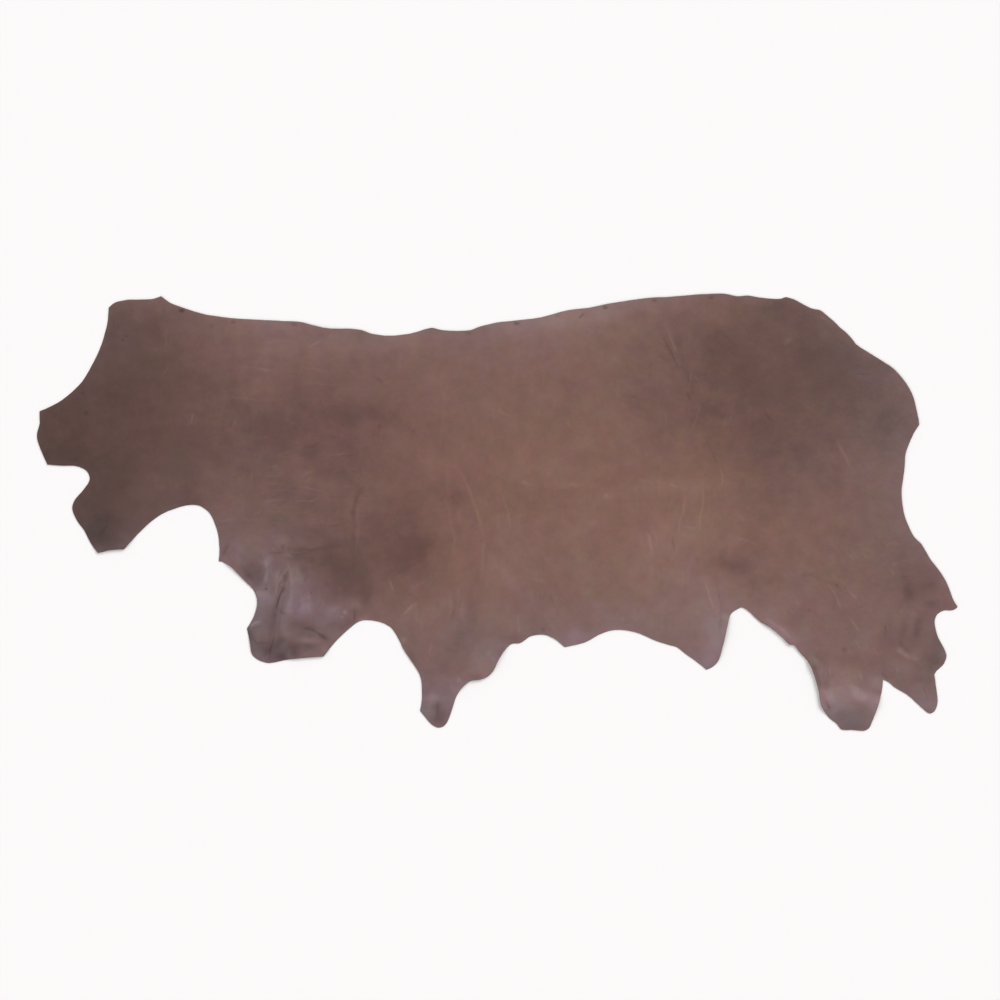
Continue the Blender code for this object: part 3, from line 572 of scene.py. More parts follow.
PATCHES = [Patch(*row) for row in [
    # Head and neck.
    ("head and neck", (90, 740), (480, 520), -0.58, 0.04),
    ("jaw", (165, 525), (130, 130), -0.18),
    ("jaw end, sheen", (200, 495), (110, 60), 0.02, 0.22),
    ("jaw, grey", (155, 545), (90, 80), -0.02, 0.12),
    ("jaw, darker by the throat", (176, 516), (46, 42), -0.08),
    ("neck, dark front edge", (200, 1070), (16, 56), -0.14),
    ("neck, darker under the edge", (545, 1040), (100, 36), -0.07),
    ("face, redder", (110, 770), (170, 75), 0.00, -0.10),
    ("upper neck", (300, 960), (230, 170), -0.13),
    ("top of the neck", (265, 1085), (150, 70), -0.14, 0.06),
    ("neck, darker by the throat", (420, 640), (55, 46), -0.08, -0.04),
    ("jaw, broader grey", (150, 545), (110, 80), 0.00, 0.10),
    ("nose, dark corner", (26, 730), (22, 18), -0.14),
    ("nose, pale", (50, 788), (26, 15), 0.10),
    ("jaw, dark edge", (105, 718), (32, 12), -0.10, -0.04),
    ("jaw, pale edge", (226, 492), (20, 14), 0.12, 0.00, 30),
    ("throat bay, dark edge", (405, 606), (42, 12), -0.10, 0.00, -5),
    # Throat.
    ("dark crease", (702, 466), (52, 26), -0.13),
    ("cool", (700, 520), (110, 56), -0.08, 0.16),
    ("pale", (536, 494), (26, 30), 0.12),
    ("pale middle", (658, 499), (34, 19), 0.15, 0.05),
    ("darker above the pale middle", (652, 562), (56, 40), -0.08),
    ("pale corner", (500, 452), (24, 16), 0.12, 0.08, -30),
    ("sheen", (560, 510), (145, 95), 0.06, 0.16),
    # Foreleg. Its sheen and many of its pale patches are painted highlights on the cockled skin.
    ("sheen", (660, 330), (230, 220), 0.02, 0.42),
    ("pale behind the shin", (712, 338), (36, 46), 0.28, 0.02),
    ("pale towards the elbow", (790, 326), (66, 30), 0.16, 0.04, -12),
    ("pale by the elbow", (808, 330), (16, 14), 0.08),
    ("pale band down the shin", (680, 384), (18, 62), 0.16),
    ("pale below the shin", (670, 332), (26, 30), 0.20),
    ("pale under the throat", (614, 432), (15, 40), 0.16, 0.04),
    ("darker over the swell", (646, 412), (16, 24), -0.22, -0.06),
    ("darker behind the swell", (703, 410), (22, 28), -0.17),
    ("pale under the throat crease", (612, 450), (26, 16), 0.18, 0.04),
    ("pale patch below the knee", (704, 352), (26, 18), 0.08),
    ("pale patch behind the knee", (754, 352), (24, 22), 0.15),
    ("pale above the heel", (604, 312), (16, 18), 0.10, 0.06),
    ("violet spot", (608, 400), (14, 15), 0.24, 0.08),
    ("olive beside the crease", (636, 372), (11, 36), 0.04, -0.14, -14),
    ("pale front", (606, 352), (40, 26), 0.26, 0.02),
    ("pink at the front edge", (592, 363), (15, 13), 0.20, -0.16),
    ("cool front edge", (582, 300), (30, 40), 0.00, 0.12),
    ("heel", (584, 290), (24, 12), 0.10, 0.00, 20),
    ("dark dimple", (572, 416), (36, 36), -0.38, -0.04),
    ("dark beside the dimple", (553, 440), (24, 20), -0.14),
    ("dark edge of the heel", (558, 258), (20, 28), -0.44, 0.04),
    ("dark below the crease", (636, 312), (16, 24), -0.12),
    ("dark below the heel", (622, 284), (22, 28), -0.14),
    ("brown hollow", (706, 281), (52, 20), -0.14, -0.14),
    ("dark end of the crease", (763, 250), (22, 13), -0.28, 0.00, -35),
    ("pale bump", (722, 238), (36, 10), 0.20, -0.04),
    ("dark toe", (636, 204), (88, 52), -0.38, 0.04),
    ("dark front of the toe", (574, 232), (34, 44), -0.32, 0.08),
    ("dark edge of the toe", (656, 188), (40, 20), -0.32, 0.02, 4),
    ("dark beside the crease in the toe", (643, 224), (20, 36), -0.24, -0.02),
    ("dark beside the faint crease", (642, 272), (14, 30), -0.16),
    ("paler behind the toe", (664, 252), (22, 14), 0.14, 0.06),
    ("cool toe", (610, 196), (62, 34), 0.08, 0.26),
    ("dark sole", (722, 220), (44, 18), -0.28, 0.08, 4),
    ("pale above the short crease", (748, 292), (34, 16), 0.12, 0.04),
    ("dark under the knee", (680, 286), (26, 22), -0.09),
    ("dark corner of the sole", (776, 214), (20, 18), -0.14, 0.08),
    ("dark over the bump", (716, 258), (44, 12), -0.10),
    ("crease in the toe", (636, 236), (22, 26), -0.18),
    # Elbow and armpit.
    ("armpit, dark upper end of the crease", (866, 640), (28, 22), -0.09),
    ("armpit", (835, 405), (105, 85), -0.20, 0.00, 25),
    ("armpit, front", (762, 452), (85, 44), -0.21, -0.10),
    ("armpit, paler", (775, 440), (44, 24), 0.09, 0.10),
    ("armpit, dark above", (800, 500), (80, 30), -0.08),
    ("elbow, paler below", (776, 304), (32, 24), 0.19, 0.06),
    ("elbow, dark rim behind", (864, 338), (18, 18), -0.16),
    ("elbow, dark edge", (822, 282), (34, 13), -0.13, 0.08, 38),
    ("elbow, pale end", (864, 297), (18, 12), 0.20),
    ("elbow, dark rib", (872, 360), (24, 46), -0.16, -0.04),
    # Shoulder and withers.
    ("shoulder", (700, 790), (430, 260), -0.25),
    ("shoulder, cooler", (690, 780), (360, 260), 0.00, 0.09),
    ("shoulder, dark streak behind", (872, 838), (130, 48), -0.22),
    ("shoulder, darker over the streak", (1020, 962), (44, 46), -0.07),
    ("shoulder, lower part", (700, 625), (150, 70), -0.06, 0.06),
    ("shoulder, paler lower streak", (740, 652), (80, 38), 0.11),
    ("shoulder, small dark stain", (722, 745), (44, 34), -0.07),
    ("withers, paler", (720, 1030), (260, 75), 0.11, 0.06),
    ("withers edge, paler", (620, 1092), (170, 30), 0.13, 0.00, -3),
    ("withers, paler behind", (965, 1045), (150, 42), 0.11),
    # Brisket, ribs and back.
    ("ribs, darker upright band", (1236, 788), (36, 90), -0.07),
    ("ribs, darker before the growth line", (1108, 642), (78, 60), -0.17, 0.00, 20),
    ("ribs, dark below the growth line's bend", (1140, 606), (46, 38), -0.09),
    ("ribs, pale beside the spot", (1536, 628), (44, 28), 0.11),
    ("back, darker over the ribs", (1409, 927), (64, 50), -0.06),
    ("brisket, paler behind", (1075, 538), (90, 42), 0.06),
    ("ribs behind the foreleg", (900, 500), (250, 200), -0.24),
    ("ribs, reddish stain", (1010, 620), (110, 110), -0.06),
    ("brisket, darker behind", (1032, 485), (62, 52), -0.07, -0.02),
    ("brisket, warmer", (885, 345), (90, 80), 0.00, -0.08),
    ("brisket edge, paler", (975, 285), (38, 40), 0.09),
    ("brisket, oil stain", (985, 470), (80, 65), -0.14, -0.10, 20),
    ("back edge, pale", (1375, 1110), (250, 62), 0.30, 0.02, 8),
    ("back edge, paler end", (1384, 1080), (50, 36), 0.14),
    ("back edge, pale below the clip", (1572, 1062), (54, 36), 0.11),
    ("back, small darker stain", (1412, 920), (48, 38), -0.07),
    ("back, darker", (1612, 885), (64, 44), -0.08),
    ("ribs, paler middle", (1446, 762), (95, 34), 0.09),
    ("ribs, warm streak", (1390, 695), (240, 48), 0.06, -0.05),
    ("ribs, warm middle", (1365, 660), (720, 260), 0.00, -0.08),
    ("brisket, pale edge", (974, 244), (16, 15), 0.20, 0.08),
    ("brisket, dark edge", (999, 194), (42, 14), -0.18, 0.00, -57),
    # Loin and croup.
    ("loin edge, pale", (1195, 1045), (215, 50), 0.09, 0.03),
    ("loin, pale", (1340, 1015), (130, 90), 0.06),
    ("croup edge, pale", (1640, 1140), (185, 40), 0.12, 0.00, 4),
    ("croup edge, paler in front", (1565, 1110), (110, 50), 0.13, 0.00, 6),
    ("croup edge, darker", (1752, 1076), (54, 24), -0.10),
    ("croup edge, dark by the rump", (1962, 1128), (46, 34), -0.12),
    ("loin edge, paler end", (1222, 1086), (42, 22), 0.11, 0.08),
    ("loin, darker below the edge", (1262, 1034), (60, 38), -0.09),
    ("croup, darker", (1940, 1106), (66, 48), -0.10),
    ("croup edge, warmer", (1850, 1115), (150, 60), 0.00, -0.08),
    ("loin, grey spot", (1796, 1004), (15, 26), -0.10, 0.06),
    # Fore belly and its spur.
    ("fore belly, paler", (1213, 238), (64, 44), 0.06, 0.02),
    ("fore spur, cool", (1100, 230), (130, 60), 0.00, 0.08),
    # The dark rows at the notch and under it are painted shade along the raised edge.
    ("fore spur, dark notch", (1264, 252), (44, 24), -0.14),
    ("fore spur, dark edge by the notch", (1240, 214), (14, 22), -0.16, 0.04, -30),
    ("fore spur, pale above the notch", (1186, 196), (60, 48), 0.10),
    ("fore spur, dark under the notch", (1168, 143), (32, 13), -0.24, -0.06, 5),
    ("fore spur, darker middle", (1080, 145), (48, 56), -0.09),
    ("fore spur, darker at the front", (1050, 110), (26, 34), -0.10),
    ("fore spur, paler behind", (1146, 116), (54, 46), 0.13),
    ("fore spur, paler edge behind", (1230, 214), (44, 42), 0.10, 0.10),
    ("fore spur, pale band", (1060, 82), (46, 18), 0.26),
    ("fore spur, dark tip", (1077, 42), (25, 36), -0.26),
    ("fore spur, cool tip", (1036, 36), (26, 40), 0.06, 0.12),
    # A painted haze of reflected light.
    ("fore spur, dry skin", (1150, 235), (130, 75), 0.00, 0.14),
    ("fore belly, dark streak", (1156, 312), (16, 52), -0.12),
    ("fore belly, cool", (1105, 280), (76, 76), 0.00, 0.12),
    ("fore belly, pale", (1115, 310), (135, 80), 0.04),
    ("fore spur, pale edge", (1206, 175), (69, 59), 0.20, 0.06),
    ("fore spur, pale", (1110, 110), (110, 70), 0.13),
    # A painted haze of reflected light.
    ("fore spur, dry", (1090, 80), (150, 130), 0.02, 0.24),
    # Belly.
    ("belly edge, pale spot", (1436, 250), (34, 24), 0.12, 0.04),
    ("belly edge, paler", (1535, 264), (60, 24), 0.10),
    ("belly, pale", (1252, 410), (100, 84), 0.14),
    ("belly, pale behind the growth line", (1206, 440), (24, 60), 0.08),
    # Paler, with a painted haze of reflected light.
    ("belly edge, dry", (1500, 290), (520, 100), 0.09, 0.08),
    ("belly edge, pale in front", (1436, 242), (110, 32), 0.14, 0.14),
    # Flank, with its fold, its spur and its bay.
    ("flank bay, paler behind", (2000, 240), (44, 36), 0.06),
    ("flank bay, pale edge", (1984, 266), (66, 26), 0.18, 0.00, -38),
    ("flank, paler below", (1692, 410), (60, 34), 0.09),
    ("flank, pale", (1690, 480), (270, 300), 0.12, -0.04),
    ("flank, pale streak", (1740, 655), (215, 37), 0.07, -0.05),
    ("flank fold, pale", (1750, 385), (80, 105), 0.07),
    # The pale rows of the flank spur are a painted sheen on its raised ridge.
    ("flank spur, pale", (1797, 250), (74, 95), 0.30, 0.16),
    ("flank bay, pale hem", (1950, 290), (135, 43), 0.02, 0.06, -40),
    ("flank bay, pale skin", (1890, 325), (130, 70), 0.12, 0.00, -20),
    ("flank bay, darker", (1898, 348), (34, 56), -0.09, -0.06),
    ("flank bay, pale skin behind", (1985, 342), (50, 46), 0.10),
    ("flank spur, pale tip", (1792, 190), (46, 40), 0.20, 0.06),
    ("flank spur, pale edge", (1826, 240), (18, 42), 0.22),
    ("flank, cool", (1690, 360), (130, 150), 0.00, 0.08),
    ("flank spur, cool", (1755, 195), (60, 46), 0.00, 0.12),
    # Hip and rump.
    ("rump, darker edge", (2244, 960), (84, 90), -0.05),
    ("rump, darker streak", (2094, 914), (80, 22), -0.07),
    ("hip and rump", (1970, 920), (480, 360), -0.34),
    ("hip, dark", (1870, 1010), (110, 90), -0.09, -0.05),
    ("rump, dark", (2130, 975), (130, 110), -0.11),
    ("rump, oil spot", (2036, 997), (43, 37), -0.05),
    ("rump, lower oil spot", (2100, 893), (60, 37), -0.06),
    ("hip, oil spot", (1796, 1038), (46, 46), -0.16),
    ("hip, dark in front", (1766, 845), (56, 52), -0.07),
    ("rump, small dark stain", (2046, 728), (46, 60), -0.10),
    # A painted haze of reflected light.
    ("rump edge, dry", (2245, 850), (190, 290), 0.00, 0.16, 20),
    ("rump edge, darker", (2240, 815), (80, 105), -0.05),
    # Thigh and butt.
    ("thigh, dark mark", (2068, 563), (36, 16), -0.15),
    ("thigh, paler below the oil spot", (1956, 522), (50, 36), 0.10),
    ("thigh, dark beside the stain", (1890, 490), (36, 36), -0.10),
    ("thigh, dark below the stain", (1900, 396), (24, 42), -0.07),
    ("thigh, darker band over the flank bay", (1935, 398), (150, 22), -0.07),
    ("thigh, dark round the mark", (2046, 412), (26, 16), -0.10, 0.00, -15),
    ("thigh, dark", (2000, 705), (110, 110), -0.08),
    ("butt, small dark stain", (2246, 500), (52, 56), -0.07),
    ("thigh, oil spot", (1946, 614), (93, 48), -0.08),
    ("thigh, dark in front", (1915, 572), (60, 52), -0.04),
    ("thigh, cool", (2050, 710), (160, 170), 0.00, 0.10),
    ("thigh, cool in front", (1848, 640), (70, 54), 0.00, 0.07),
    # A painted haze of reflected light.
    ("butt edge, dry", (2290, 600), (170, 260), 0.03, 0.06),
    ("thigh, small stain", (1850, 448), (75, 42), -0.28),
    ("butt, oil stain", (2345, 378), (64, 56), -0.08),
    ("butt, darker", (2195, 452), (150, 70), -0.05),
    ("butt, darker behind", (2292, 410), (60, 130), -0.07),
    ("thigh, darker", (2150, 505), (110, 60), -0.06, 0.02),
    ("butt, dark stain in front", (2318, 372), (20, 40), -0.22, -0.04, 22),
    ("butt, dark stain behind", (2377, 389), (28, 22), -0.10),
    ("butt, dark stain below", (2380, 337), (28, 12), -0.16, -0.04, -10),
    # Shank, hock and tail side.
    ("tail side, dark upper edge", (2398, 238), (30, 60), -0.12),
    ("tail side, dark over the notch", (2396, 184), (28, 24), -0.20),
    ("hock, dark over the tip", (2350, 136), (30, 18), -0.10),
    ("shank, cool", (2026, 390), (56, 46), 0.00, 0.09),
    # These two rows paint a haze of reflected light.
    ("hock, dry", (2240, 300), (260, 240), 0.00, 0.14),
    ("tail side, dry", (2360, 150), (80, 150), -0.03, 0.10),
    ("tail side, dark", (2377, 202), (48, 69), -0.12),
    ("hock, pale", (2190, 250), (48, 43), 0.10),
    ("tail side, pale", (2305, 172), (48, 48), 0.06),
    ("hock, darker", (2292, 245), (64, 60), -0.09),
    ("tail side, cool edge", (2412, 210), (30, 60), 0.00, 0.18),
    ("hock notch, cool", (2300, 110), (50, 36), 0.04, 0.16),
    ("hock tip, pale", (2378, 78), (42, 50), 0.22, 0.12),
    ("hock, warm", (2200, 190), (52, 36), 0.00, -0.06),
    # Hind shank. Its pale band is painted highlight on the ridges across it, the grey below
    # it painted shade on their lower slope, and the dark hem above the raised side painted
    # shade.
    ("darker end of the side", (2074, 190), (20, 20), -0.08),
    ("pale", (2165, 94), (105, 66), 0.30),
    ("warm top", (2146, 156), (76, 36), 0.14),
    ("paler over the top", (2150, 196), (120, 80), 0.08),
    ("pale behind over the band", (2226, 124), (36, 22), 0.24, 0.04),
    ("pale back edge", (2234, 68), (28, 24), 0.34, 0.02),
    ("pale at the side", (2112, 62), (32, 36), 0.38),
    ("pale rim at the side", (2090, 98), (14, 26), 0.30),
    ("dark at the top of the side", (2097, 114), (20, 24), -0.20, -0.06),
    ("dark hem above the side", (2056, 187), (22, 16), -0.16),
    ("pale band behind", (2202, 92), (30, 15), 0.18, -0.06, 12),
    ("pale band in front", (2138, 98), (32, 18), 0.30, -0.06, -14),
    ("grey below the band", (2170, 76), (28, 14), -0.10),
    # A painted haze of reflected light over the foot.
    ("dry", (2150, 46), (140, 112), 0.00, 0.21),
    ("darker foot", (2166, 34), (60, 26), -0.06),
    ("dark foot", (2186, 10), (34, 14), -0.14, -0.06),
    ("cool foot", (2166, 20), (84, 32), 0.04, 0.20),
    ("dark side", (2076, 140), (14, 44), 0.06, 0.14, 14),
]]

# The grain where no stain lies, how a stain fades, wanders and frays, the painted haze of
# reflected light that grows towards the edge, and the paler rim.
COMMON_TONE = 0.66
COMMON_SHEEN_AND_BLOOM = 0.06
STAIN_FALL = 2.2
STAIN_WANDER = 24.0
STAIN_WANDER_SPACING = 90.0
STAIN_WANDER_SHARE = 0.25
STAIN_FRAY = 8.0
STAIN_FRAY_SPACING = 22.0
STAIN_FRAY_SHARE = 0.35
EDGE_HAZE_REACH = 80.0
EDGE_HAZE = 0.20
PALE_RIM = 9.0
PALE_RIM_TONE = 0.06

# The dye struck redder over the shoulder and stayed a greyer brown at the rump and the feet.
Dye = namedtuple("Dye", "name centre radii red turn", defaults=(0,))

DYES = [Dye(*row) for row in [
    ("shoulder, redder", (770, 785), (320, 140), 0.44),
    ("withers, redder", (800, 950), (360, 130), 0.14),
    ("neck, browner crest", (500, 1080), (70, 40), -0.24),
    ("brisket, redder", (990, 510), (270, 110), 0.24),
    ("foreleg, redder", (700, 360), (85, 75), 0.30),
    ("foreleg, red toe", (668, 212), (46, 32), 0.56),
    ("foreleg, grey front of the toe", (584, 210), (34, 44), -0.30),
    ("foreleg, brown hollow", (704, 256), (56, 30), -0.26),
    ("nose, browner", (20, 760), (60, 90), -0.18),
    ("jaw, browner", (140, 560), (150, 130), -0.30),
    ("jaw, grey end", (166, 496), (50, 30), -0.30),
    ("rump, browner", (2230, 850), (125, 250), -0.34),
    ("butt, browner", (2240, 560), (150, 150), -0.16),
    ("thigh, browner", (2180, 420), (200, 130), -0.12),
    ("tail side, grey", (2385, 190), (90, 120), -0.36),
    ("fore spur, grey foot", (1050, 36), (56, 40), -0.50),
    ("fore spur, browner above", (1090, 190), (110, 50), -0.20),
    ("flank edge, browner", (1640, 262), (70, 40), -0.20),
    ("flank spur, redder", (1790, 220), (60, 60), 0.24),
    ("flank bay, redder edge", (1975, 278), (80, 44), 0.36, -38),
    ("hip, redder", (1970, 830), (150, 180), 0.16),
    ("butt, red stain", (2318, 372), (26, 46), 0.30, 22),
    ("belly, browner", (1460, 440), (130, 60), -0.20),
    ("hind shank, grey foot", (2170, 34), (80, 56), -0.62),
    # These two rows tint the painted highlights at the foot of the hind shank pink.
    ("hind shank, red at the side", (2096, 78), (24, 30), 0.70),
    ("hind shank, red behind", (2240, 84), (20, 24), 0.80),
]]


def strength_of(stain, places, push, fray):
    """How strongly a stain shows at each place: fully in its middle, faintly at its radii."""
    angle = radians(stain.turn)
    turn = np.array([[cos(angle), -sin(angle)], [sin(angle), cos(angle)]])
    small = min(stain.radii)
    moved = places + min(STAIN_WANDER, small * STAIN_WANDER_SHARE) * push
    moved += min(STAIN_FRAY, small * STAIN_FRAY_SHARE) * fray
    reach = np.hypot(*((moved - stain.centre) @ turn / stain.radii).T)
    return np.exp(-STAIN_FALL * reach ** 2)


def stains_at(places):
    """The tone, the painted sheen and bloom, and the redness of the grain at each place, before its marks.
    """
    push = wander(places, STAIN_WANDER_SPACING, 1.0, seed=31) - places
    fray = wander(places, STAIN_FRAY_SPACING, 1.0, seed=33) - places
    tone = np.full(len(places), COMMON_TONE)
    bloom = np.full(len(places), COMMON_SHEEN_AND_BLOOM)
    red = np.zeros(len(places))
    for patch in PATCHES:
        strength = strength_of(patch, places, push, fray)
        tone += patch.tone * strength
        bloom += patch.bloom * strength
    for dye in DYES:
        red += dye.red * strength_of(dye, places, push, fray)
    inward = distance_to(edge_tree, places)
    # A painted haze of reflected light, strongest at the edge, and a paler rim.
    bloom += EDGE_HAZE * np.exp(-inward / EDGE_HAZE_REACH)
    tone += PALE_RIM_TONE * np.exp(-inward / PALE_RIM)
    return tone, bloom, red


# The sheet: one thickness of leather all over. Its grain face is divided finely enough
# for the marks, with rows of points along each line, and the flesh side more plainly.
# Between them runs the cut edge, with both of its corners a little rounded.
GRAIN_PITCH = 8.2
FOLD_PITCH = 5.5
FOLD_CLEARANCE = FOLD_PITCH * 0.6
FOLD_MARGIN = 1.15
FLESH_PITCH = 17.0
MARK_STEP = 3.0
MARK_ROWS = (-1.0, -0.5, 0.0, 0.5, 1.0)
SPOT_RINGS = ((0.25, 6), (0.5, 10))
MARK_CELL = 1.3
MARK_CLEARANCE = 2.2
LATTICE_CLEARANCE = 2.6
SHAKE = 0.16
SLOPE_STEP = 1.5
TRIANGLES_INSIDE = 1

# Each row of the rounded edge: how far in from the outline, how high in the thickness,
# and the finish of the band that leads to the next row.
EdgeRow = namedtuple("EdgeRow", "inset level finish")
GRAIN, FLESH, CUT = 0, 1, 2
EDGE_ROWS = [
    EdgeRow(1.3, 0.0, FLESH),
    EdgeRow(0.5, 0.0, CUT),
    EdgeRow(0.12, 0.18, CUT),
    EdgeRow(0.0, 0.55, CUT),
    EdgeRow(0.0, THICKNESS - 0.55, CUT),
    EdgeRow(0.12, THICKNESS - 0.18, CUT),
    EdgeRow(0.5, THICKNESS, GRAIN),
    EdgeRow(1.3, THICKNESS, GRAIN),
]


def lattice(pitch, random):
    """Places in staggered rows over the whole side, each shaken a little off its row."""
    low, high = edge.min(axis=0), edge.max(axis=0)
    row_gap = pitch * 3 ** 0.5 / 2
    rows, columns = np.mgrid[0:ceil((high[1] - low[1]) / row_gap), 0:ceil((high[0] - low[0]) / pitch)]
    along = low[0] + (columns + rows % 2 / 2) * pitch
    across = low[1] + rows * row_gap
    places = np.column_stack([along.ravel(), across.ravel()])
    return places + random.uniform(-SHAKE, SHAKE, places.shape) * pitch


def within(places, clearance):
    """The places that lie on the side, at least that far in from its outline."""
    inside = np.zeros(len(places), dtype=bool)
    for start, end in zip(edge, np.roll(edge, -1, axis=0)):
        low, high = sorted((start[1], end[1]))
        level = np.flatnonzero((places[:, 1] >= low) & (places[:, 1] < high))
        share = (places[level, 1] - start[1]) / (end[1] - start[1]) if len(level) else 0.0
        inside[level] ^= places[level, 0] < start[0] + share * (end[0] - start[0])
    places = places[inside]
    return places[distance_to(edge_tree, places) > clearance]


def in_folds(places):
    """Whether each place lies in a fold or close beside it."""
    reaches = [distance_to_line(places, fold.start, fold.end)[0] / (fold.width / 2) for fold in FOLDS]
    return np.min(reaches, axis=0) < FOLD_MARGIN


def places_of_marks():
    """Rows of places along each line and rings round each spot, none too close to another."""
    wanted = []
    for line in LINES:
        for start, end in zip(line.path, line.path[1:]):
            start, end = np.array(start, dtype=float), np.array(end, dtype=float)
            length = hypot(*(end - start))
            aside = np.array([start[1] - end[1], end[0] - start[0]]) / length * line.width / 2
            for step in np.linspace(0.0, 1.0, max(2, round(length / MARK_STEP)), endpoint=False):
                wanted += [start + step * (end - start) + row * aside for row in MARK_ROWS]
    for spot in SPOTS:
        wanted.append(np.array(spot.centre, dtype=float))
        for ring, count in SPOT_RINGS:
            for turn in np.linspace(0.0, 2 * pi, count, endpoint=False):
                wanted.append(spot.centre + ring * spot.width * np.array([cos(turn), sin(turn)]))
    kept, taken = [], set()
    for place in wanted:
        cell = tuple(np.round(place / MARK_CELL).astype(int))
        if cell not in taken:
            taken.add(cell)
            kept.append(place)
    return np.array(kept)


def face_places(fold_pitch, fold_clearance, pitch, random):
    """Places all over one face of the sheet, closer together in its folds."""
    folded = lattice(fold_pitch, random)
    folded = within(folded[in_folds(folded)], fold_clearance)
    plain = lattice(pitch, random)
    plain = within(plain[~in_folds(plain)], pitch / 2)
    return np.vstack([folded, plain])


def raised(places, level):
    """Points that stand off the flesh side by the level, square to the sheet, in metres."""
    height = underside_height(places)
    slope = np.column_stack([
        underside_height(places + (SLOPE_STEP, 0.0)) - height,
        underside_height(places + (0.0, SLOPE_STEP)) - height,
    ]) / SLOPE_STEP
    up = np.column_stack([-slope, np.ones(len(places))])
    up /= np.linalg.norm(up, axis=1)[:, None]
    points = np.column_stack([places + origin, height]) + up * np.reshape(level, (-1, 1))
    return points * METRES


def fill(rim, inner, first_of_rim, first_of_inner, upward):
    """Triangles over the rim and the inner places, numbered as they are in the whole sheet."""
    count = len(rim)
    border = [(index, (index + 1) % count) for index in range(count)]
    places = [Vector(place) for place in np.vstack([rim, inner])]
    _, _, faces, sources, *_ = delaunay_2d_cdt(places, border, [], TRIANGLES_INSIDE, SAME_PLACE)
    number = [first_of_rim + i if i < count else first_of_inner + i - count for i in range(len(places))]
    made = []
    for face in faces:
        corners = [number[sources[corner][0]] for corner in face]
        made.append(corners if upward else corners[::-1])
    return made


def leather_sheet():
    """The whole sheet as one mesh, with the stains, the painted light and the tone of its marks at each
    point.
    """
    random = np.random.default_rng(8)
    count = len(edge)
    out = outward(edge)
    rows = [edge - row.inset * out for row in EDGE_ROWS]
    flesh = face_places(FOLD_PITCH * 2, FOLD_PITCH, FLESH_PITCH, random)
    marks = within(places_of_marks(), MARK_CLEARANCE)
    grain = face_places(FOLD_PITCH, FOLD_CLEARANCE, GRAIN_PITCH, random)
    grain = np.vstack([marks, grain[distance_to(tree_of(marks), grain) > LATTICE_CLEARANCE]])
    levels = [row.level for row in EDGE_ROWS] + [0.0, THICKNESS]
    points, dressings = [], []
    for places, level in zip([*rows, flesh, grain], levels):
        relief, change = marks_at(places)
        tone, bloom, red = stains_at(places)
        points.append(raised(places, level + relief if level == THICKNESS else level))
        dressings.append([tone + change, bloom, red])
    first_flesh = count * len(rows)
    faces = fill(rows[0], flesh, 0, first_flesh, False)
    finishes = [FLESH] * len(faces)
    for level, row in enumerate(EDGE_ROWS[:-1]):
        low, high = level * count, (level + 1) * count
        for index in range(count):
            after = (index + 1) % count
            faces.append([low + index, low + after, high + after, high + index])
        finishes += [row.finish] * count
    top = fill(rows[-1], grain, first_flesh - count, first_flesh + len(flesh), True)
    faces += top
    finishes += [GRAIN] * len(top)
    mesh = bpy.data.meshes.new("side")
    mesh.from_pydata(np.vstack(points).tolist(), [], faces)
    mesh.polygons.foreach_set("material_index", finishes)
    mesh.shade_smooth()
    for name, values in zip(("tone", "bloom", "red"), np.concatenate(dressings, axis=1)):
        mesh.attributes.new(name, "FLOAT", "POINT").data.foreach_set("value", values)
    side = bpy.data.objects.new("side", mesh)
    bpy.context.scene.collection.objects.link(side)
    return side


side = leather_sheet()

# The grain face: full-grain cowhide, vegetable tanned, dyed through and stuffed with oil
# and wax. It is matt to satin, clouded in broad soft patches, with fine pores and, in
# the loose parts, a net of wrinkles. Stretched places are paler, oiled ones darker. Its
# colour also carries painted sheen, highlights and shade.


def linear(code):
    """The linear colour of an sRGB hex code such as #7b5c56."""
    shares = [int(code[at:at + 2], 16) / 255 for at in (1, 3, 5)]
    parts = [share / 12.92 if share <= 0.04045 else ((share + 0.055) / 1.055) ** 2.4 for share in shares]
    return [*parts, 1.0]


def add(tree, kind, settings=None, links=None):
    """A node of that kind, with its settings made and its sockets linked, by name or number."""
    made = tree.nodes.new("ShaderNode" + kind)
    for name, value in (settings or {}).items():
        if isinstance(name, str) and hasattr(made, name):
            setattr(made, name, value)
        else:
            made.inputs[name].default_value = value
    for name, source in (links or {}).items():
        tree.links.new(source, made.inputs[name])
    return made


def new_material(name):
    """An empty material, with its node tree, its Principled BSDF and the object's own place."""
    material = bpy.data.materials.new(name)
    material.use_nodes = True
    tree = material.node_tree
    place = add(tree, "TexCoord").outputs["Object"]
    return material, tree, tree.nodes["Principled BSDF"], place


# The clouds of tone and of dye, from broad to fine: how far apart they lie in metres, how
# rough they are, and how far the tone, or the red, green and blue, swings between them.
Cloud = namedtuple("Cloud", "spacing detail roughness swing")

TONE_CLOUDS = [Cloud(0.150, 3.0, 0.5, 0.34), Cloud(0.042, 4.0, 0.6, 0.32), Cloud(0.011, 3.0, 0.6, 0.11)]
DYE_CLOUDS = [Cloud(0.200, 2.0, 0.5, (0.03, 0.14, 0.14)), Cloud(0.048, 4.0, 0.75, (0.26, 0.36, 0.53))]
REDDER_DYE = (0.087, -0.137, 0.0)
SHEEN_AND_BLOOM_TINT = (0.64, 1.07, 1.98, 1.0)
PORE, BREAK = 0.0016, 0.0085

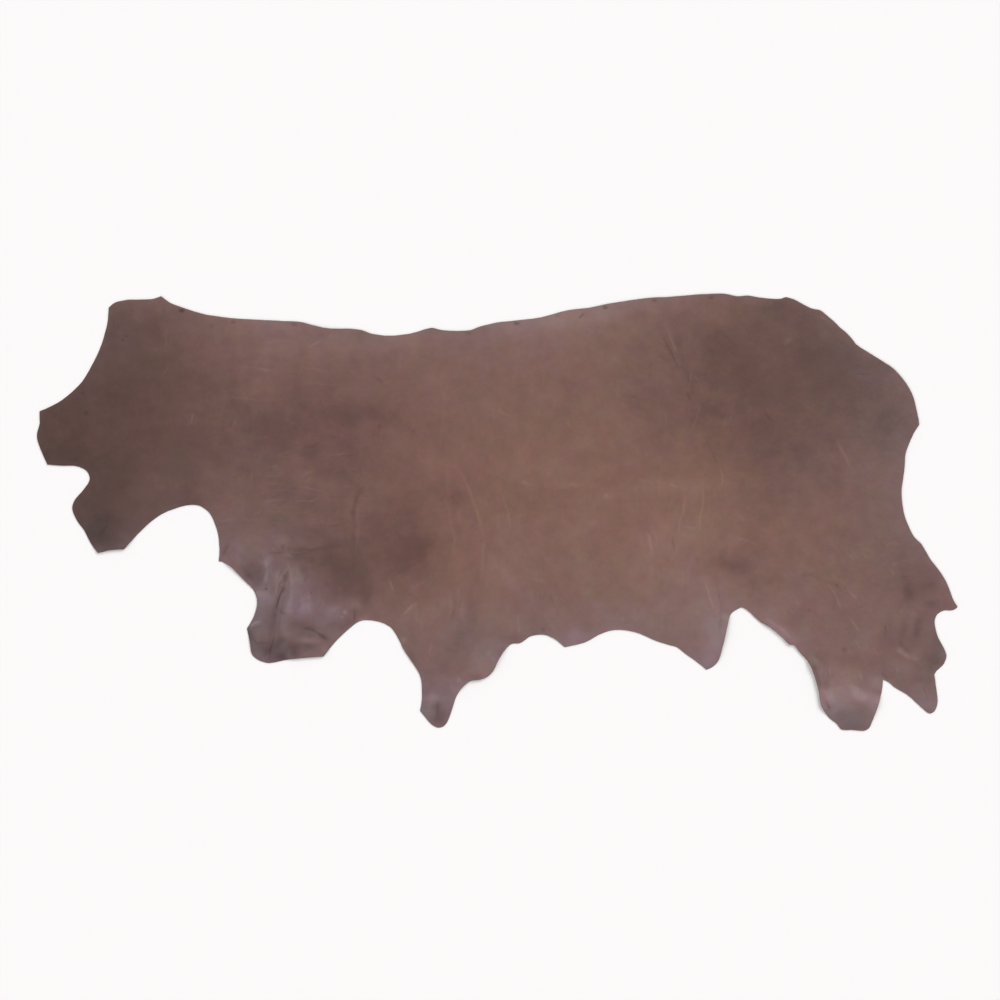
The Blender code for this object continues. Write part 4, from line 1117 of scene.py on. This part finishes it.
grain_face, tree, surface, place = new_material("oiled full-grain leather")
tone, bloom, red = [
    add(tree, "Attribute", {"attribute_name": name}).outputs["Fac"] for name in ("tone", "bloom", "red")
]
for cloud in TONE_CLOUDS:
    noise = add(tree, "TexNoise", {"Scale": 1 / cloud.spacing, "Detail": cloud.detail,
                                   "Roughness": cloud.roughness}, {"Vector": place})
    swing = add(tree, "Math", {"operation": "MULTIPLY_ADD", 1: cloud.swing, 2: -cloud.swing / 2},
                {0: noise.outputs["Fac"]})
    tone = add(tree, "Math", {"operation": "ADD"}, {0: swing.outputs[0], 1: tone}).outputs[0]
# From the dark brown of oiled leather and painted shade to the pale brown of stretched
# places and painted highlights.
ramp = add(tree, "ValToRGB", links={"Fac": tone})
ramp.color_ramp.elements[0].color = linear("#40271d")
ramp.color_ramp.elements[1].color = linear("#866458")
for at, code in ((0.10, "#4b2d23"), (0.36, "#5b3c32"), (0.66, "#735044")):
    ramp.color_ramp.elements.new(at).color = linear(code)
# The dye took unevenly. Its clouds are moved aside, so that they don't fall on the tone's.
colour = ramp.outputs["Color"]
aside = add(tree, "VectorMath", {"operation": "ADD", 1: (3.0, 5.0, 7.0)}, {0: place}).outputs[0]
for cloud in DYE_CLOUDS:
    noise = add(tree, "TexNoise", {"Scale": 1 / cloud.spacing, "Detail": cloud.detail,
                                   "Roughness": cloud.roughness}, {"Vector": aside})
    least = [1 - part / 2 for part in cloud.swing]
    tint = add(tree, "VectorMath", {"operation": "MULTIPLY_ADD", 1: cloud.swing, 2: least},
               {0: noise.outputs["Color"]})
    colour = add(tree, "VectorMath", {"operation": "MULTIPLY"}, {0: colour, 1: tint.outputs[0]}).outputs[0]
redder = add(tree, "VectorMath", {"operation": "MULTIPLY_ADD", 1: REDDER_DYE, 2: (1.0, 1.0, 1.0)}, {0: red})
dyed = add(tree, "VectorMath", {"operation": "MULTIPLY"}, {0: colour, 1: redder.outputs[0]})
# A cool violet grey multiplied in by the sheen and bloom: a painted sheen of reflected light, with some wax
# bloom.
haze = add(tree, "Mix", {"data_type": "RGBA", "blend_type": "MULTIPLY", 7: SHEEN_AND_BLOOM_TINT},
           {0: bloom, 6: dyed.outputs[0]})
# Pores dimple the grain, and a fine break wrinkles it between them.
pores = add(tree, "TexVoronoi", {"feature": "SMOOTH_F1", "Scale": 1 / PORE, "Smoothness": 0.6},
            {"Vector": place})
wrinkled = add(tree, "TexVoronoi", {"feature": "SMOOTH_F1", "Scale": 1 / BREAK, "Smoothness": 0.7},
               {"Vector": place})
pored = add(tree, "Bump", {"Strength": 0.5, "Distance": 0.00012}, {"Height": pores.outputs["Distance"]})
creased = add(tree, "Bump", {"Strength": 0.35, "Distance": 0.00045},
              {"Height": wrinkled.outputs["Distance"], "Normal": pored.outputs["Normal"]})
# Oiled leather is duller than the places that were rubbed and waxed.
satin = add(tree, "MapRange", {"From Min": 0.0, "From Max": 0.6, "To Min": 0.56, "To Max": 0.44},
            {"Value": bloom})
tree.links.new(haze.outputs[2], surface.inputs["Base Color"])
tree.links.new(satin.outputs[0], surface.inputs["Roughness"])
tree.links.new(creased.outputs["Normal"], surface.inputs["Normal"])
surface.inputs["IOR"].default_value = 1.5

# The flesh side: split and buffed, so it is a short matt nap of loose fibres, paler and
# yellower than the grain, because little of the finish reaches it.
NAP, BUFFING = 0.002, 0.060

flesh_side, tree, surface, place = new_material("buffed flesh side")
nap = add(tree, "TexNoise", {"Scale": 1 / NAP, "Detail": 5.0, "Roughness": 0.7}, {"Vector": place})
buffed = add(tree, "TexNoise", {"Scale": 1 / BUFFING, "Detail": 3.0}, {"Vector": place})
nap_mix = add(tree, "Mix", {"data_type": "RGBA", 6: linear("#6f5038"), 7: linear("#947256")},
              {0: buffed.outputs["Fac"]})
nap_bump = add(tree, "Bump", {"Strength": 0.6, "Distance": 0.0004}, {"Height": nap.outputs["Fac"]})
tree.links.new(nap_mix.outputs[2], surface.inputs["Base Color"])
tree.links.new(nap_bump.outputs["Normal"], surface.inputs["Normal"])
surface.inputs["Roughness"].default_value = 0.92
surface.inputs["IOR"].default_value = 1.45

# The cut edge: the bare section of the leather, fibres cut square by the knife, dyed
# through but a little darker than the grain.
FIBRE = 0.0012

cut_edge, tree, surface, place = new_material("cut edge")
fibre = add(tree, "TexNoise", {"Scale": 1 / FIBRE, "Detail": 4.0, "Roughness": 0.7}, {"Vector": place})
fibre_mix = add(tree, "Mix", {"data_type": "RGBA", 6: linear("#4a3229"), 7: linear("#6d4b3e")},
                {0: fibre.outputs["Fac"]})
fibre_bump = add(tree, "Bump", {"Strength": 0.7, "Distance": 0.0003}, {"Height": fibre.outputs["Fac"]})
tree.links.new(fibre_mix.outputs[2], surface.inputs["Base Color"])
tree.links.new(fibre_bump.outputs["Normal"], surface.inputs["Normal"])
surface.inputs["Roughness"].default_value = 0.8
surface.inputs["IOR"].default_value = 1.45

# The whole side is one piece, held by nothing but its weight. Its flat size, in metres,
# is that of the hide as it lies, because the folds take up hardly any of its length.
for finish in (grain_face, flesh_side, cut_edge):
    side.data.materials.append(finish)
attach(side, "root")
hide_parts(SIDE)

# The floor: a plain sheet of board in a pale matt paint, wide enough to reach the horizon
# in any view. It lies a hair below the side, so that no face of the two falls together.
FLOOR_SIZE = 60.0
FLOOR_LEVEL = -0.0004
bpy.ops.mesh.primitive_plane_add(size=FLOOR_SIZE, location=(0.0, 0.0, FLOOR_LEVEL))
floor = bpy.context.object
floor.name = "floor"
matt_white, _, surface, _ = new_material("matt white paint")
surface.inputs["Base Color"].default_value = linear("#f1efef")
surface.inputs["Roughness"].default_value = 0.9
surface.inputs["Specular IOR Level"].default_value = 0.2
floor.data.materials.append(matt_white)

# Two broad soft lights from the sides, as on a copy stand, and a pale room around them.
Light = namedtuple("Light", "name heading tilt strength spread")
LIGHTS = [
    Light("soft light behind right", 50, 46, 1.82, 36),
    Light("soft light in front left", 215, 50, 1.25, 50),
]
for light in LIGHTS:
    lamp = bpy.data.lights.new(light.name, "SUN")
    lamp.energy = light.strength
    lamp.angle = radians(light.spread)
    holder = bpy.data.objects.new(light.name, lamp)
    tilt, heading = radians(light.tilt), radians(light.heading)
    toward = Vector((sin(tilt) * cos(heading), sin(tilt) * sin(heading), cos(tilt)))
    holder.rotation_euler = toward.to_track_quat("Z", "Y").to_euler()
    bpy.context.scene.collection.objects.link(holder)
ROOM_COLOUR = (1.0, 0.99, 0.995, 1.0)
ROOM_STRENGTH = 0.45
room = bpy.data.worlds.new("pale room")
room.use_nodes = True
room.node_tree.nodes["Background"].inputs["Color"].default_value = ROOM_COLOUR
room.node_tree.nodes["Background"].inputs["Strength"].default_value = ROOM_STRENGTH
bpy.context.scene.world = room
bpy.context.scene.view_settings.view_transform = "Standard"

# The camera looks straight down on the side, from far enough to show it almost flat.
FOCAL_LENGTH = 85.0
SENSOR = 36.0
VIEW_WIDTH = 2.6608
VIEW_CENTRE = (0.0073, 0.0325)
camera = bpy.data.objects.new("camera", bpy.data.cameras.new("camera"))
camera.data.lens = FOCAL_LENGTH
camera.data.sensor_width = SENSOR
camera.location = (*VIEW_CENTRE, VIEW_WIDTH * FOCAL_LENGTH / SENSOR + THICKNESS * METRES)
bpy.context.scene.collection.objects.link(camera)
bpy.context.scene.camera = camera
